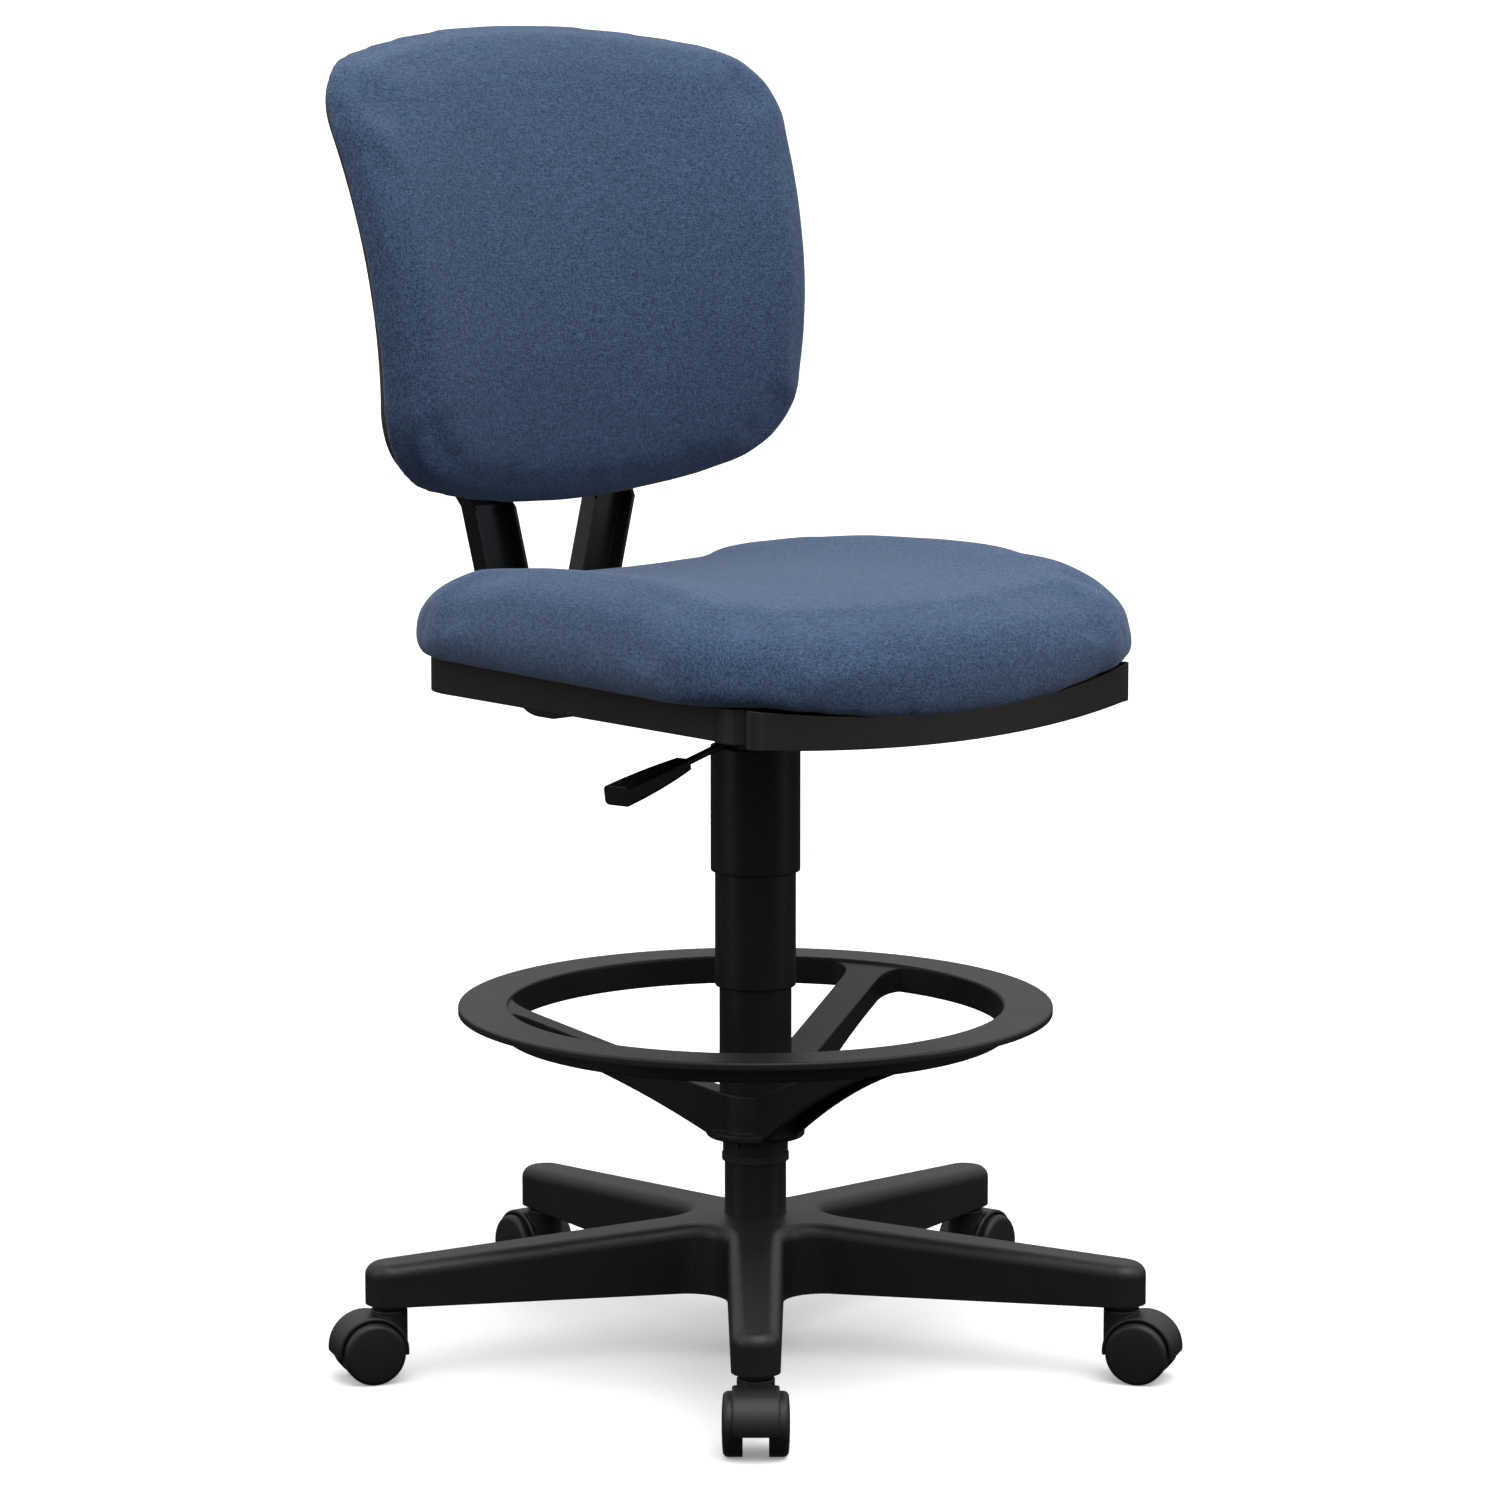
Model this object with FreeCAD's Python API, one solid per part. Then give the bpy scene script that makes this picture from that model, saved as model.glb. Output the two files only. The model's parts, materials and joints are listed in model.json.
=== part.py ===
"""Drafting chair: five-legged castor base, height-adjustable foot ring, gas-lift column with three
telescoping covers, padded seat on a fixed seat plate, and a padded back on a V-shaped bracket.

Frame: +Z up, origin on the floor under the column axis, the sitter faces -Y and their right hand is -X.
An azimuth is measured from -Y towards +X. All sizes are in millimetres.
"""
import FreeCAD, Part
import math
import os
from FreeCAD import Vector

# ---------------------------------------------------------------- driving dimensions
RUNNING_GAP = 0.05          # radial clearance of a shaft that turns or slides in its hole
SOFT_GAP = 0.3              # gap between a soft piece and its neighbour

# castors
WHEEL_R = 25.0
WHEEL_WIDTH = 16.0
WHEEL_INNER_S = 10.0        # distance of a wheel's inner face from the castor's mid-plane
CASTOR_TRAIL = 0.68 * WHEEL_R   # distance from the stem to the axle
STEM_R = 5.5
AXLE_R = 3.0
HOOD_TOP_Z = 2 * WHEEL_R + 7.0
HOOD_HALF_WIDTH = 18.2
HOOD_WALL = 2.8
HOOD_WEB_HALF_WIDTH = WHEEL_INNER_S - 0.6
HOOD_BOSS_R = 14.6          # upright housing round the stem
HOOD_BOSS_LOW_Z = WHEEL_R - 1.0
HOOD_BORE_Z = WHEEL_R + 8.0
GRIP_RING_R = 13.2          # black ring between the hood and the leg
TREAD_GAP = 1.3             # between the tread and the hood

# base
BASE_TURN = -42.0           # azimuth of the first leg
LEG_COUNT = 5
CASTOR_CIRCLE_R = 307.0     # radius of the castor stems' circle
LEG_ROOT_HALF_WIDTH = 23.5
LEG_TIP_HALF_WIDTH = 19.0
LEG_WEB_R = 30.0            # fillet between neighbouring legs, in plan
LEG_EDGE_R = 10.0           # rounding of the legs' top edges
LEG_WALL = 4.0
LEG_TIP_BOTTOM_Z = HOOD_TOP_Z + 3.5
LEG_TIP_TOP_Z = LEG_TIP_BOTTOM_Z + 34.5
HUB_TOP_Z = LEG_TIP_TOP_Z + 20.0
HUB_BOTTOM_Z = LEG_TIP_BOTTOM_Z - 6.5
HUB_WALL = 6.0

# column
TUBE_R = 25.0
TUBE_WALL = 2.0
TUBE_BOTTOM_Z = HUB_BOTTOM_Z + 6.0
GAS_R = 14.0
GAS_WALL = 3.0
GAS_LENGTH = 286.0
ROD_R = 5.0
VALVE_PIN_R = 3.0
BUSH_LENGTH = 98.0
LIFT_DOWN = 70.0            # travel of the seat below the modelled height
LIFT_UP = 90.0              # travel of the seat above it

# foot ring
RING_TURN = -11.0           # azimuth of the first spoke
RING_TOP_Z = 286.0
RING_OUTER_R = 240.0
RING_WIDTH = 40.0
RING_FLANGE = 3.5
RING_SKIRT_DEPTH = 23.0
RING_SKIRT_WALL = 4.0
RING_LIP_DEPTH = 6.0
SPOKE_COUNT = 3
SPOKE_WIDTH = 32.0
SPOKE_FLARE_R = 16.0        # fillet between a spoke and the ring, in plan
SPOKE_RING_DEPTH = 21.0     # depth of a spoke where it meets the ring
SPOKE_ARCH = 8.0            # rise of a spoke's underside over a straight line
SPOKE_WALL = 4.0
RING_HUB_R = 30.5
RING_HUB_TOP_Z = RING_TOP_Z - 72.0
RING_HUB_BOTTOM_Z = RING_HUB_TOP_Z - 37.0
RING_HUB_FLANGE_R = 40.0
COLLET_WALL = 1.4
COLLET_BOTTOM_Z = RING_HUB_BOTTOM_Z - 14.0
COLLET_LENGTH = 42.0

# telescoping covers
SEAT_BASE_Z = 540.0         # underside of the seat shell
COVER_TOP_DROP = 44.0       # from the seat shell's underside to the upper cover's rim
COVER_ROOM = SEAT_BASE_Z - COVER_TOP_DROP - RING_HUB_TOP_Z
COVER_WALL = 1.6
UPPER_COVER_R = 36.2
MIDDLE_COVER_R = 32.7
LOWER_COVER_R = 29.2
UPPER_COVER_LENGTH = 0.36 * COVER_ROOM
MIDDLE_COVER_LENGTH = 0.525 * COVER_ROOM
MIDDLE_COVER_BOTTOM_Z = RING_HUB_TOP_Z + 0.307 * COVER_ROOM
LOWER_COVER_LENGTH = 0.567 * COVER_ROOM

# seat plate and lever
PLATE_T = 3.0
PAN_DEPTH = 33.0
PAN_HALF_WIDTH = 55.0
PAN_FRONT_Y = -75.0
PAN_REAR_Y = 95.0
PAN_CORNER_R = 14.0
HUB_COLLAR_HALF_WIDTH = 9.0
FLANGE_MARGIN_X = 40.0
FLANGE_MARGIN_Y = 12.0
TAPER_HUB_R = 20.0
TAPER_HUB_LENGTH = 29.0
GAS_TOP_DROP = 39.0         # from the seat shell's underside to the top of the gas cylinder
LEVER_SWEEP = 12.0          # degrees that the lever points forward of sideways
LEVER_DROOP = 9.8           # degrees that it points down
LEVER_ROD_R = 3.0
LEVER_PIVOT_T = 30.0        # distance from the column axis to the lever's pivot
LEVER_NECK_T = 97.0
LEVER_END_T = 183.0
LEVER_AXIS_DROP = 30.4      # from the seat shell's underside to the rod's axis above the valve pin
PADDLE_WIDTH = 25.0
PADDLE_HEIGHT = 16.0
PIVOT_PIN_R = 2.0

# seat
SHELL_HALF_WIDTH_FRONT = 206.0
SHELL_HALF_WIDTH_REAR = SHELL_HALF_WIDTH_FRONT - 8.0
SHELL_REAR_Y = 200.0
SHELL_NOTCH_Y = -206.0      # where the side wall ends and the front fascia starts
FASCIA_HALF_WIDTH = SHELL_HALF_WIDTH_FRONT - 5.0
FASCIA_BOW = 26.0
FASCIA_STEP = 15.0          # how far the fascia stands forward of the notch at its ends
FASCIA_DROP = 12.0          # how far the fascia hangs below the side walls in the middle
FASCIA_DIP = 16.0           # how far its top edge dips in the middle
SHELL_REAR_CORNER_R = 50.0
SHELL_PILLAR = 9.0          # rounded end of the side wall at the notch
SHELL_WALL = 3.0
SHELL_HEIGHT = 27.0
BOARD_T = 12.0
BOARD_MARGIN = 5.0
CUSHION_HALF_WIDTH_FRONT = SHELL_HALF_WIDTH_FRONT + 30.0
CUSHION_HALF_WIDTH_REAR = SHELL_HALF_WIDTH_REAR + 18.0
CUSHION_REAR_Y = SHELL_REAR_Y + 18.0
CUSHION_FRONT_Y = SHELL_NOTCH_Y - 40.0
CUSHION_BOW = 14.0          # how far the middle of its front edge stands forward
CUSHION_CORNER_R = 85.0
CUSHION_TOP_Z = SEAT_BASE_Z + 94.0
CUSHION_EDGE_R = 26.0
BOLT_X = 75.0               # seat bolts, from the mid-plane
BOLT_FRONT_Y = -66.0
BOLT_REAR_Y = 86.0
BOLT_R = 3.0
HEX_SIZE = 10.0             # across the flats of a bolt's head
SHELL_SCREW_X = SHELL_HALF_WIDTH_REAR - 48.0
SHELL_SCREW_Y = 135.0
ARM_HOLE_X = SHELL_HALF_WIDTH_REAR - 26.0    # optional arm brackets bolt here
ARM_HOLE_SPACING = 76.0
ARM_HOLE_R = 3.25

# back
BACK_BOTTOM_Z = SEAT_BASE_Z + 131.0
BACK_TOP_Z = BACK_BOTTOM_Z + 395.0
BACK_HALF_WIDTH_TOP = 239.0
BACK_HALF_WIDTH_BOTTOM = BACK_HALF_WIDTH_TOP - 16.0
LUMBAR_Z = BACK_BOTTOM_Z + 119.0
LUMBAR_Y = 222.0            # middle surface of the back at the lumbar
UPPER_CURVE_R = 420.0       # side-view curve above the lumbar
LOWER_CURVE_R = 430.0       # side-view curve below it
WRAP_R = 860.0              # curve of the back around the sitter
BACK_CUSHION_FRONT = 27.0   # from the middle surface to the cushion's front
BACK_CUSHION_REAR = 8.0     # from the middle surface to the cushion's rear
BACK_BOARD_T = 8.0
BACK_COVER_T = 3.0
BACK_BOARD_INSET = 13.0     # margin between the cushion's outline and the board's
BACK_COVER_INSET = 15.5
BACK_BOSS_R = 9.0           # bosses on the board that meet the bracket's arms
BACK_LAYER_STATIONS = 9     # cross-sections that shape a curved layer of the back

# back bracket
BAR_HALF_WIDTH = 38.0
BAR_T = 7.0
BAR_FRONT_Y = 50.0
BAR_LOW_DROP = 42.0         # from the seat shell's underside to the bar's lowest point
BAR_BEND_R = 38.0           # outer radius of the bend between the bar and the arms
ARM_FRONT_Y = LUMBAR_Y + 25.0       # front face of the upright arms
ARM_DEPTH = 17.5
ARM_WIDTH = 44.0
ARM_SPLAY = 14.0            # degrees of each arm from upright, in front view
ARM_FORK_Z = SEAT_BASE_Z + 20.0     # where the two arms part
ARM_KNEE_Z = BACK_BOTTOM_Z + 2.0    # where the arms start to lean back
ARM_TOP_Z = BACK_BOTTOM_Z + 104.0
ARM_RIM = 3.0
ARM_OFFSET_TOP = 12.0       # how far the arms' tops stand behind their lower part
ARM_LEAN_RISE = 14.0        # height over which they lean back
BACK_BOLT_Z = (BACK_BOTTOM_Z + 47.0, BACK_BOTTOM_Z + 87.0)
BOLT_HEAD_R = 5.5


# ---------------------------------------------------------------- helpers
def xyz(x, y, z=0.0):
    return Vector(x, y, z)


def along(radius, azimuth, z=0.0):
    """The point at a radius and azimuth."""
    a = math.radians(azimuth)
    return Vector(radius * math.sin(a), -radius * math.cos(a), z)


def turned(shape, azimuth):
    """A copy of a shape built pointing to -Y, turned to an azimuth."""
    copy = shape.copy()
    copy.rotate(Vector(0, 0, 0), Vector(0, 0, 1), azimuth)
    return copy


def tube(outer_r, inner_r, low, high, centre=(0.0, 0.0)):
    solid = Part.makeCylinder(outer_r, high - low, xyz(*centre, low))
    if inner_r > 0:
        solid = solid.cut(Part.makeCylinder(inner_r, high - low, xyz(*centre, low)))
    return solid


def box(x, y, z):
    """A box from three (low, high) pairs."""
    return Part.makeBox(x[1] - x[0], y[1] - y[0], z[1] - z[0], xyz(x[0], y[0], z[0]))


def polygon(points):
    return Part.makePolygon(list(points) + [points[0]])


def revolved(profile):
    """The solid of a closed (radius, z) profile turned about the column axis."""
    face = Part.Face(polygon([xyz(r, 0, z) for r, z in profile]))
    return face.revolve(Vector(0, 0, 0), Vector(0, 0, 1), 360)


def arc(a, b, c):
    return Part.Arc(a, b, c).toShape()


def line(a, b):
    return Part.LineSegment(a, b).toShape()


def joined(first, *others):
    return first.multiFuse(list(others)).removeSplitter()


def mirrored(shape):
    return shape.mirror(Vector(0, 0, 0), Vector(1, 0, 0))


def edges_where(shape, test):
    return [edge for edge in shape.Edges if test(edge.BoundBox)]


def inset(face, distance):
    """A planar face shrunk by a distance, or grown when the distance is negative."""
    return face.makeOffset2D(-distance, 0, False, False, False)


# ---------------------------------------------------------------- base
def star_edges(wall):
    """Outline of the five legs in plan, shrunk by a wall: tapered sides, round tips, webs between legs."""
    taper = (LEG_ROOT_HALF_WIDTH - LEG_TIP_HALF_WIDTH) / CASTOR_CIRCLE_R
    slant = math.hypot(1.0, taper)
    side = LEG_ROOT_HALF_WIDTH - wall * slant
    tip_r = (side - taper * CASTOR_CIRCLE_R) / slant
    web_r = LEG_WEB_R + wall
    half_pitch = math.radians(180.0 / LEG_COUNT)
    web_centre = (side + web_r * slant) / (math.sin(half_pitch) + taper * math.cos(half_pitch))
    web_x = web_centre * math.sin(half_pitch) - web_r / slant
    web_y = -(web_centre * math.cos(half_pitch) - web_r * taper / slant)
    tip_x = tip_r / slant
    tip_y = -(CASTOR_CIRCLE_R + tip_r * taper / slant)
    tip = xyz(0, -CASTOR_CIRCLE_R - tip_r)
    leg = [line(xyz(-web_x, web_y), xyz(-tip_x, tip_y)),
           arc(xyz(-tip_x, tip_y), tip, xyz(tip_x, tip_y)),
           line(xyz(tip_x, tip_y), xyz(web_x, web_y))]
    pitch = 360.0 / LEG_COUNT
    next_root = turned(Part.Vertex(xyz(-web_x, web_y)), pitch).Point
    leg.append(arc(xyz(web_x, web_y), along(web_centre - web_r, pitch / 2), next_root))
    return [turned(edge, index * pitch) for index in range(LEG_COUNT) for edge in leg]


def star_solid(wall, low_z, roof):
    """The star outline between a flat floor and the legs' sloping top, lowered by a roof thickness."""
    outline = Part.Face(Part.Wire(Part.__sortEdges__(star_edges(wall))))
    prism = outline.copy()
    prism.translate(xyz(0, 0, low_z))
    prism = prism.extrude(xyz(0, 0, HUB_TOP_Z - low_z))
    reach = CASTOR_CIRCLE_R + 2 * LEG_TIP_HALF_WIDTH
    slope = (HUB_TOP_Z - LEG_TIP_TOP_Z) / CASTOR_CIRCLE_R
    limit = revolved([(0, low_z), (reach, low_z), (reach, HUB_TOP_Z - slope * reach - roof),
                      (TUBE_R, HUB_TOP_Z - slope * TUBE_R - roof), (0, HUB_TOP_Z - slope * TUBE_R - roof)])
    return prism.common(limit)


def base_star():
    reach = CASTOR_CIRCLE_R + 2 * LEG_TIP_HALF_WIDTH
    full = star_solid(0.0, HUB_BOTTOM_Z, 0.0)
    top_edges = edges_where(full, lambda b: b.ZMin > LEG_TIP_TOP_Z - 5 and b.YLength + b.XLength > 5)
    full = full.makeFillet(LEG_EDGE_R, top_edges)
    underside = revolved([(0, HUB_BOTTOM_Z - 10), (reach, HUB_BOTTOM_Z - 10), (reach, LEG_TIP_BOTTOM_Z + 1),
                          (CASTOR_CIRCLE_R - LEG_TIP_HALF_WIDTH, LEG_TIP_BOTTOM_Z),
                          (TUBE_R + HUB_WALL, HUB_BOTTOM_Z), (0, HUB_BOTTOM_Z)])
    full = full.cut(underside)
    hollow = star_solid(LEG_WALL, HUB_BOTTOM_Z - 5, LEG_EDGE_R * 0.6)
    inner = [tube(TUBE_R + HUB_WALL, 0, HUB_BOTTOM_Z, HUB_TOP_Z)]
    rib = box((-1.5, 1.5), (-CASTOR_CIRCLE_R, -TUBE_R), (HUB_BOTTOM_Z + 12, HUB_TOP_Z))
    boss = tube(STEM_R + 5, 0, HUB_BOTTOM_Z, HUB_TOP_Z, (0, -CASTOR_CIRCLE_R))
    for index in range(LEG_COUNT):
        inner.append(turned(rib, index * 360.0 / LEG_COUNT))
        inner.append(turned(boss, index * 360.0 / LEG_COUNT))
    kept = full.common(inner[0].multiFuse(inner[1:]))
    body = full.cut(hollow).fuse(kept).removeSplitter()
    bores = [tube(TUBE_R, 0, HUB_BOTTOM_Z - 5, HUB_TOP_Z + 5)]
    stem_bore = tube(STEM_R, 0, HUB_BOTTOM_Z, LEG_TIP_TOP_Z - LEG_EDGE_R, (0, -CASTOR_CIRCLE_R))
    bores += [turned(stem_bore, index * 360.0 / LEG_COUNT) for index in range(LEG_COUNT)]
    return turned(body.cut(bores[0].multiFuse(bores[1:])), BASE_TURN)


def leg_azimuth(index):
    return BASE_TURN + index * 360.0 / LEG_COUNT


def around_legs(shape):
    """One copy of a shape built at the -Y leg for each leg, in one group."""
    return Part.makeCompound([turned(shape, leg_azimuth(index)) for index in range(LEG_COUNT)])


# ---------------------------------------------------------------- castors, built at the -Y leg
AXLE_Y = -(CASTOR_CIRCLE_R + CASTOR_TRAIL)


def castor_stem():
    return tube(STEM_R, 0, HOOD_BORE_Z + 1, LEG_TIP_TOP_Z - LEG_EDGE_R, (0, -CASTOR_CIRCLE_R))


def grip_ring():
    return tube(GRIP_RING_R, STEM_R, HOOD_TOP_Z + SOFT_GAP, LEG_TIP_BOTTOM_Z, (0, -CASTOR_CIRCLE_R))


def across(radius, half_width, centre_z=WHEEL_R):
    """A cylinder about the axle line."""
    return Part.makeCylinder(radius, 2 * half_width, xyz(-half_width, AXLE_Y, centre_z), Vector(1, 0, 0))


def castor_hood():
    """Twin-wheel castor body: a middle web, a fender over both treads and an upright housing for the stem."""
    fender_r = WHEEL_R + TREAD_GAP + HOOD_WALL
    fender = across(fender_r, HOOD_HALF_WIDTH)
    rim = edges_where(fender, lambda b: b.XLength < 0.01 and b.YLength > fender_r)
    fender = fender.makeFillet(2.0, rim)
    fender = fender.cut(across(WHEEL_R + TREAD_GAP, HOOD_HALF_WIDTH + 1))
    web = across(WHEEL_R + TREAD_GAP + 1, HOOD_WEB_HALF_WIDTH)
    below = box((-60, 60), (AXLE_Y - 60, AXLE_Y + 60), (-60, WHEEL_R - 3.0))
    upper = fender.fuse(web).cut(below)
    knuckle = across(2.4 * AXLE_R, HOOD_WEB_HALF_WIDTH)
    stem = (0, -CASTOR_CIRCLE_R)
    boss = tube(HOOD_BOSS_R, 0, HOOD_BOSS_LOW_Z, HOOD_TOP_Z, stem)
    ends = edges_where(boss, lambda b: b.ZMin > HOOD_TOP_Z - 1 or b.ZMax < HOOD_BOSS_LOW_Z + 1)
    boss = boss.makeFillet(1.5, ends)
    wheel_room = across(WHEEL_R + TREAD_GAP, 30).cut(across(WHEEL_R + TREAD_GAP + 1, HOOD_WEB_HALF_WIDTH))
    hood = joined(upper, knuckle, boss.cut(wheel_room))
    stem_bore = tube(STEM_R + RUNNING_GAP, 0, HOOD_BORE_Z, HOOD_TOP_Z + 1, stem)
    return hood.cut(stem_bore).cut(across(AXLE_R, 30))


def castor_axle():
    return across(AXLE_R, WHEEL_INNER_S + WHEEL_WIDTH - 5)


def castor_wheel(side):
    """One wheel: flat tread, rounded shoulder, domed outer face and a blind bore on the axle."""
    inner = WHEEL_INNER_S
    outer = inner + WHEEL_WIDTH
    shoulder = 4.5
    blind = outer - 4
    bore = AXLE_R + RUNNING_GAP
    profile = [line(xyz(inner, bore), xyz(inner, WHEEL_R)),
               line(xyz(inner, WHEEL_R), xyz(outer - shoulder, WHEEL_R)),
               arc(xyz(outer - shoulder, WHEEL_R), xyz(outer - 1.6, WHEEL_R - 1.9),
                   xyz(outer - 0.8, WHEEL_R - shoulder)),
               arc(xyz(outer - 0.8, WHEEL_R - shoulder), xyz(outer - 0.2, WHEEL_R / 2), xyz(outer, bore)),
               line(xyz(outer, bore), xyz(outer, 0)),
               line(xyz(outer, 0), xyz(blind, 0)),
               line(xyz(blind, 0), xyz(blind, bore)),
               line(xyz(blind, bore), xyz(inner, bore))]
    face = Part.Face(Part.Wire(profile))
    wheel = face.revolve(Vector(0, 0, 0), Vector(1, 0, 0), 360)
    wheel.translate(xyz(0, AXLE_Y, WHEEL_R))
    return wheel if side > 0 else mirrored(wheel)


# ---------------------------------------------------------------- column
GAS_TOP_Z = SEAT_BASE_Z - GAS_TOP_DROP
GAS_BOTTOM_Z = GAS_TOP_Z - GAS_LENGTH
TAPER_HUB_BOTTOM_Z = GAS_TOP_Z - TAPER_HUB_LENGTH
BUSH_FLANGE = 3.0
TUBE_TOP_Z = TAPER_HUB_BOTTOM_Z - LIFT_DOWN - BUSH_FLANGE - 2.0
TUBE_FLOOR = 4.0
RACE_T = 2.5
BALL_R = 2.0
BALL_CIRCLE_R = 9.0
BALL_COUNT = 9
RACE_BOTTOM_Z = TUBE_BOTTOM_Z + TUBE_FLOOR
BALL_Z = RACE_BOTTOM_Z + RACE_T + BALL_R
UPPER_RACE_Z = BALL_Z + BALL_R
GLAND_LENGTH = 14.0
PISTON_LENGTH = 12.0
PISTON_BOTTOM_Z = GAS_BOTTOM_Z + LIFT_UP + GLAND_LENGTH + 6.0
GAS_CAP = 12.0
CLIP_T = 3.0


def stand_tube():
    wall = tube(TUBE_R, TUBE_R - TUBE_WALL, TUBE_BOTTOM_Z, TUBE_TOP_Z)
    floor = tube(TUBE_R - TUBE_WALL, ROD_R + 0.4, TUBE_BOTTOM_Z, TUBE_BOTTOM_Z + TUBE_FLOOR)
    return joined(wall, floor)


def guide_bush():
    sleeve = tube(TUBE_R - TUBE_WALL, GAS_R + RUNNING_GAP, TUBE_TOP_Z - BUSH_LENGTH, TUBE_TOP_Z)
    flange = tube(TUBE_R, GAS_R + RUNNING_GAP, TUBE_TOP_Z, TUBE_TOP_Z + BUSH_FLANGE)
    return joined(sleeve, flange)


def lower_race():
    return tube(BALL_CIRCLE_R + 4, ROD_R + 0.4, RACE_BOTTOM_Z, RACE_BOTTOM_Z + RACE_T)


def upper_race():
    return tube(BALL_CIRCLE_R + 4, ROD_R, UPPER_RACE_Z, UPPER_RACE_Z + RACE_T)


def thrust_balls():
    radius = BALL_R - 0.02
    return Part.makeCompound([Part.makeSphere(radius, along(BALL_CIRCLE_R, index * 360.0 / BALL_COUNT, BALL_Z))
                              for index in range(BALL_COUNT)])


def ball_cage():
    cage = tube(BALL_CIRCLE_R + 3, BALL_CIRCLE_R - 3, BALL_Z - 0.8, BALL_Z + 0.8)
    for index in range(BALL_COUNT):
        seat = along(BALL_CIRCLE_R, index * 360.0 / BALL_COUNT, BALL_Z)
        cage = cage.cut(Part.makeCylinder(BALL_R + RUNNING_GAP, 4, seat - xyz(0, 0, 2)))
    return cage


def rod_bumper():
    low = UPPER_RACE_Z + RACE_T
    bumper = tube(ROD_R + 7, ROD_R, low, low + 10)
    outer = edges_where(bumper, lambda b: b.ZLength < 0.01 and b.XLength > 2 * ROD_R + 10)
    return bumper.makeFillet(2.0, outer)


def retaining_clip():
    return tube(ROD_R + 4, ROD_R, TUBE_BOTTOM_Z - 1 - CLIP_T, TUBE_BOTTOM_Z - 1)


def piston_rod():
    return tube(ROD_R, 0, TUBE_BOTTOM_Z - 2 - CLIP_T, PISTON_BOTTOM_Z + PISTON_LENGTH)


def piston():
    return tube(GAS_R - GAS_WALL - RUNNING_GAP, ROD_R, PISTON_BOTTOM_Z, PISTON_BOTTOM_Z + PISTON_LENGTH)


def gas_cylinder():
    body = tube(GAS_R, 0, GAS_BOTTOM_Z, GAS_TOP_Z)
    bore = tube(GAS_R - GAS_WALL, 0, GAS_BOTTOM_Z, GAS_TOP_Z - GAS_CAP)
    pin_hole = tube(VALVE_PIN_R + RUNNING_GAP, 0, GAS_TOP_Z - GAS_CAP - 1, GAS_TOP_Z + 1)
    return body.cut(bore).cut(pin_hole)


def cylinder_gland():
    return tube(GAS_R - GAS_WALL, ROD_R + RUNNING_GAP, GAS_BOTTOM_Z, GAS_BOTTOM_Z + GLAND_LENGTH)


def lever_axis_z(distance):
    """Height of the lever's axis at a distance from the column axis."""
    return SEAT_BASE_Z - LEVER_AXIS_DROP - distance * math.tan(math.radians(LEVER_DROOP))


def valve_pin():
    """Release pin: its domed top stands just under the lever's inner end."""
    top = lever_axis_z(0) - LEVER_ROD_R / math.cos(math.radians(LEVER_DROOP)) - SOFT_GAP
    pin = tube(VALVE_PIN_R, 0, GAS_TOP_Z - GAS_CAP - 12, top - 0.6)
    head = Part.makeCone(VALVE_PIN_R, VALVE_PIN_R - 1.2, 0.6, xyz(0, 0, top - 0.6))
    return joined(pin, head)


# ---------------------------------------------------------------- telescoping covers
def rounded_tube(radius, low, high):
    """A thin cover with a rounded lower edge."""
    cover = tube(radius, radius - COVER_WALL, low, high)
    rim = edges_where(cover, lambda b: b.ZMax < low + 0.01 and b.XLength > 2 * radius - 0.1)
    return cover.makeFillet(COVER_WALL * 0.8, rim)


def cover_upper():
    """The upper cover hangs on the taper hub by a web just below its open rim."""
    top = SEAT_BASE_Z - COVER_TOP_DROP
    shell = rounded_tube(UPPER_COVER_R, top - UPPER_COVER_LENGTH, top)
    web = tube(UPPER_COVER_R - COVER_WALL, TAPER_HUB_R, top - 8, top - 5.5)
    return joined(shell, web)


def cover_middle():
    return rounded_tube(MIDDLE_COVER_R, MIDDLE_COVER_BOTTOM_Z, MIDDLE_COVER_BOTTOM_Z + MIDDLE_COVER_LENGTH)


def cover_lower():
    return tube(LOWER_COVER_R, LOWER_COVER_R - COVER_WALL, RING_HUB_TOP_Z, RING_HUB_TOP_Z + LOWER_COVER_LENGTH)


# ---------------------------------------------------------------- foot ring
def spoke_outline():
    """Plan of one spoke at -Y, from the axis to the ring, flared where it meets the ring."""
    inner_r = RING_OUTER_R - RING_WIDTH
    half = SPOKE_WIDTH / 2
    flare_x = half + SPOKE_FLARE_R
    flare_y = -math.sqrt((inner_r - SPOKE_FLARE_R) ** 2 - flare_x ** 2)
    scale = inner_r / (inner_r - SPOKE_FLARE_R)
    on_ring = xyz(flare_x * scale, flare_y * scale)
    towards = (xyz(half, flare_y) + on_ring) * 0.5 - xyz(flare_x, flare_y)
    middle = xyz(flare_x, flare_y) + towards.normalize() * SPOKE_FLARE_R
    deep = xyz(on_ring.x, on_ring.y - 3)
    right = [line(xyz(half, 0), xyz(half, flare_y)),
             arc(xyz(half, flare_y), middle, on_ring),
             line(on_ring, deep)]
    left = [mirrored(edge) for edge in right]
    ends = [line(deep, xyz(-deep.x, deep.y)), line(xyz(-half, 0), xyz(half, 0))]
    return Part.Face(Part.Wire(Part.__sortEdges__(right + left + ends)))


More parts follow.
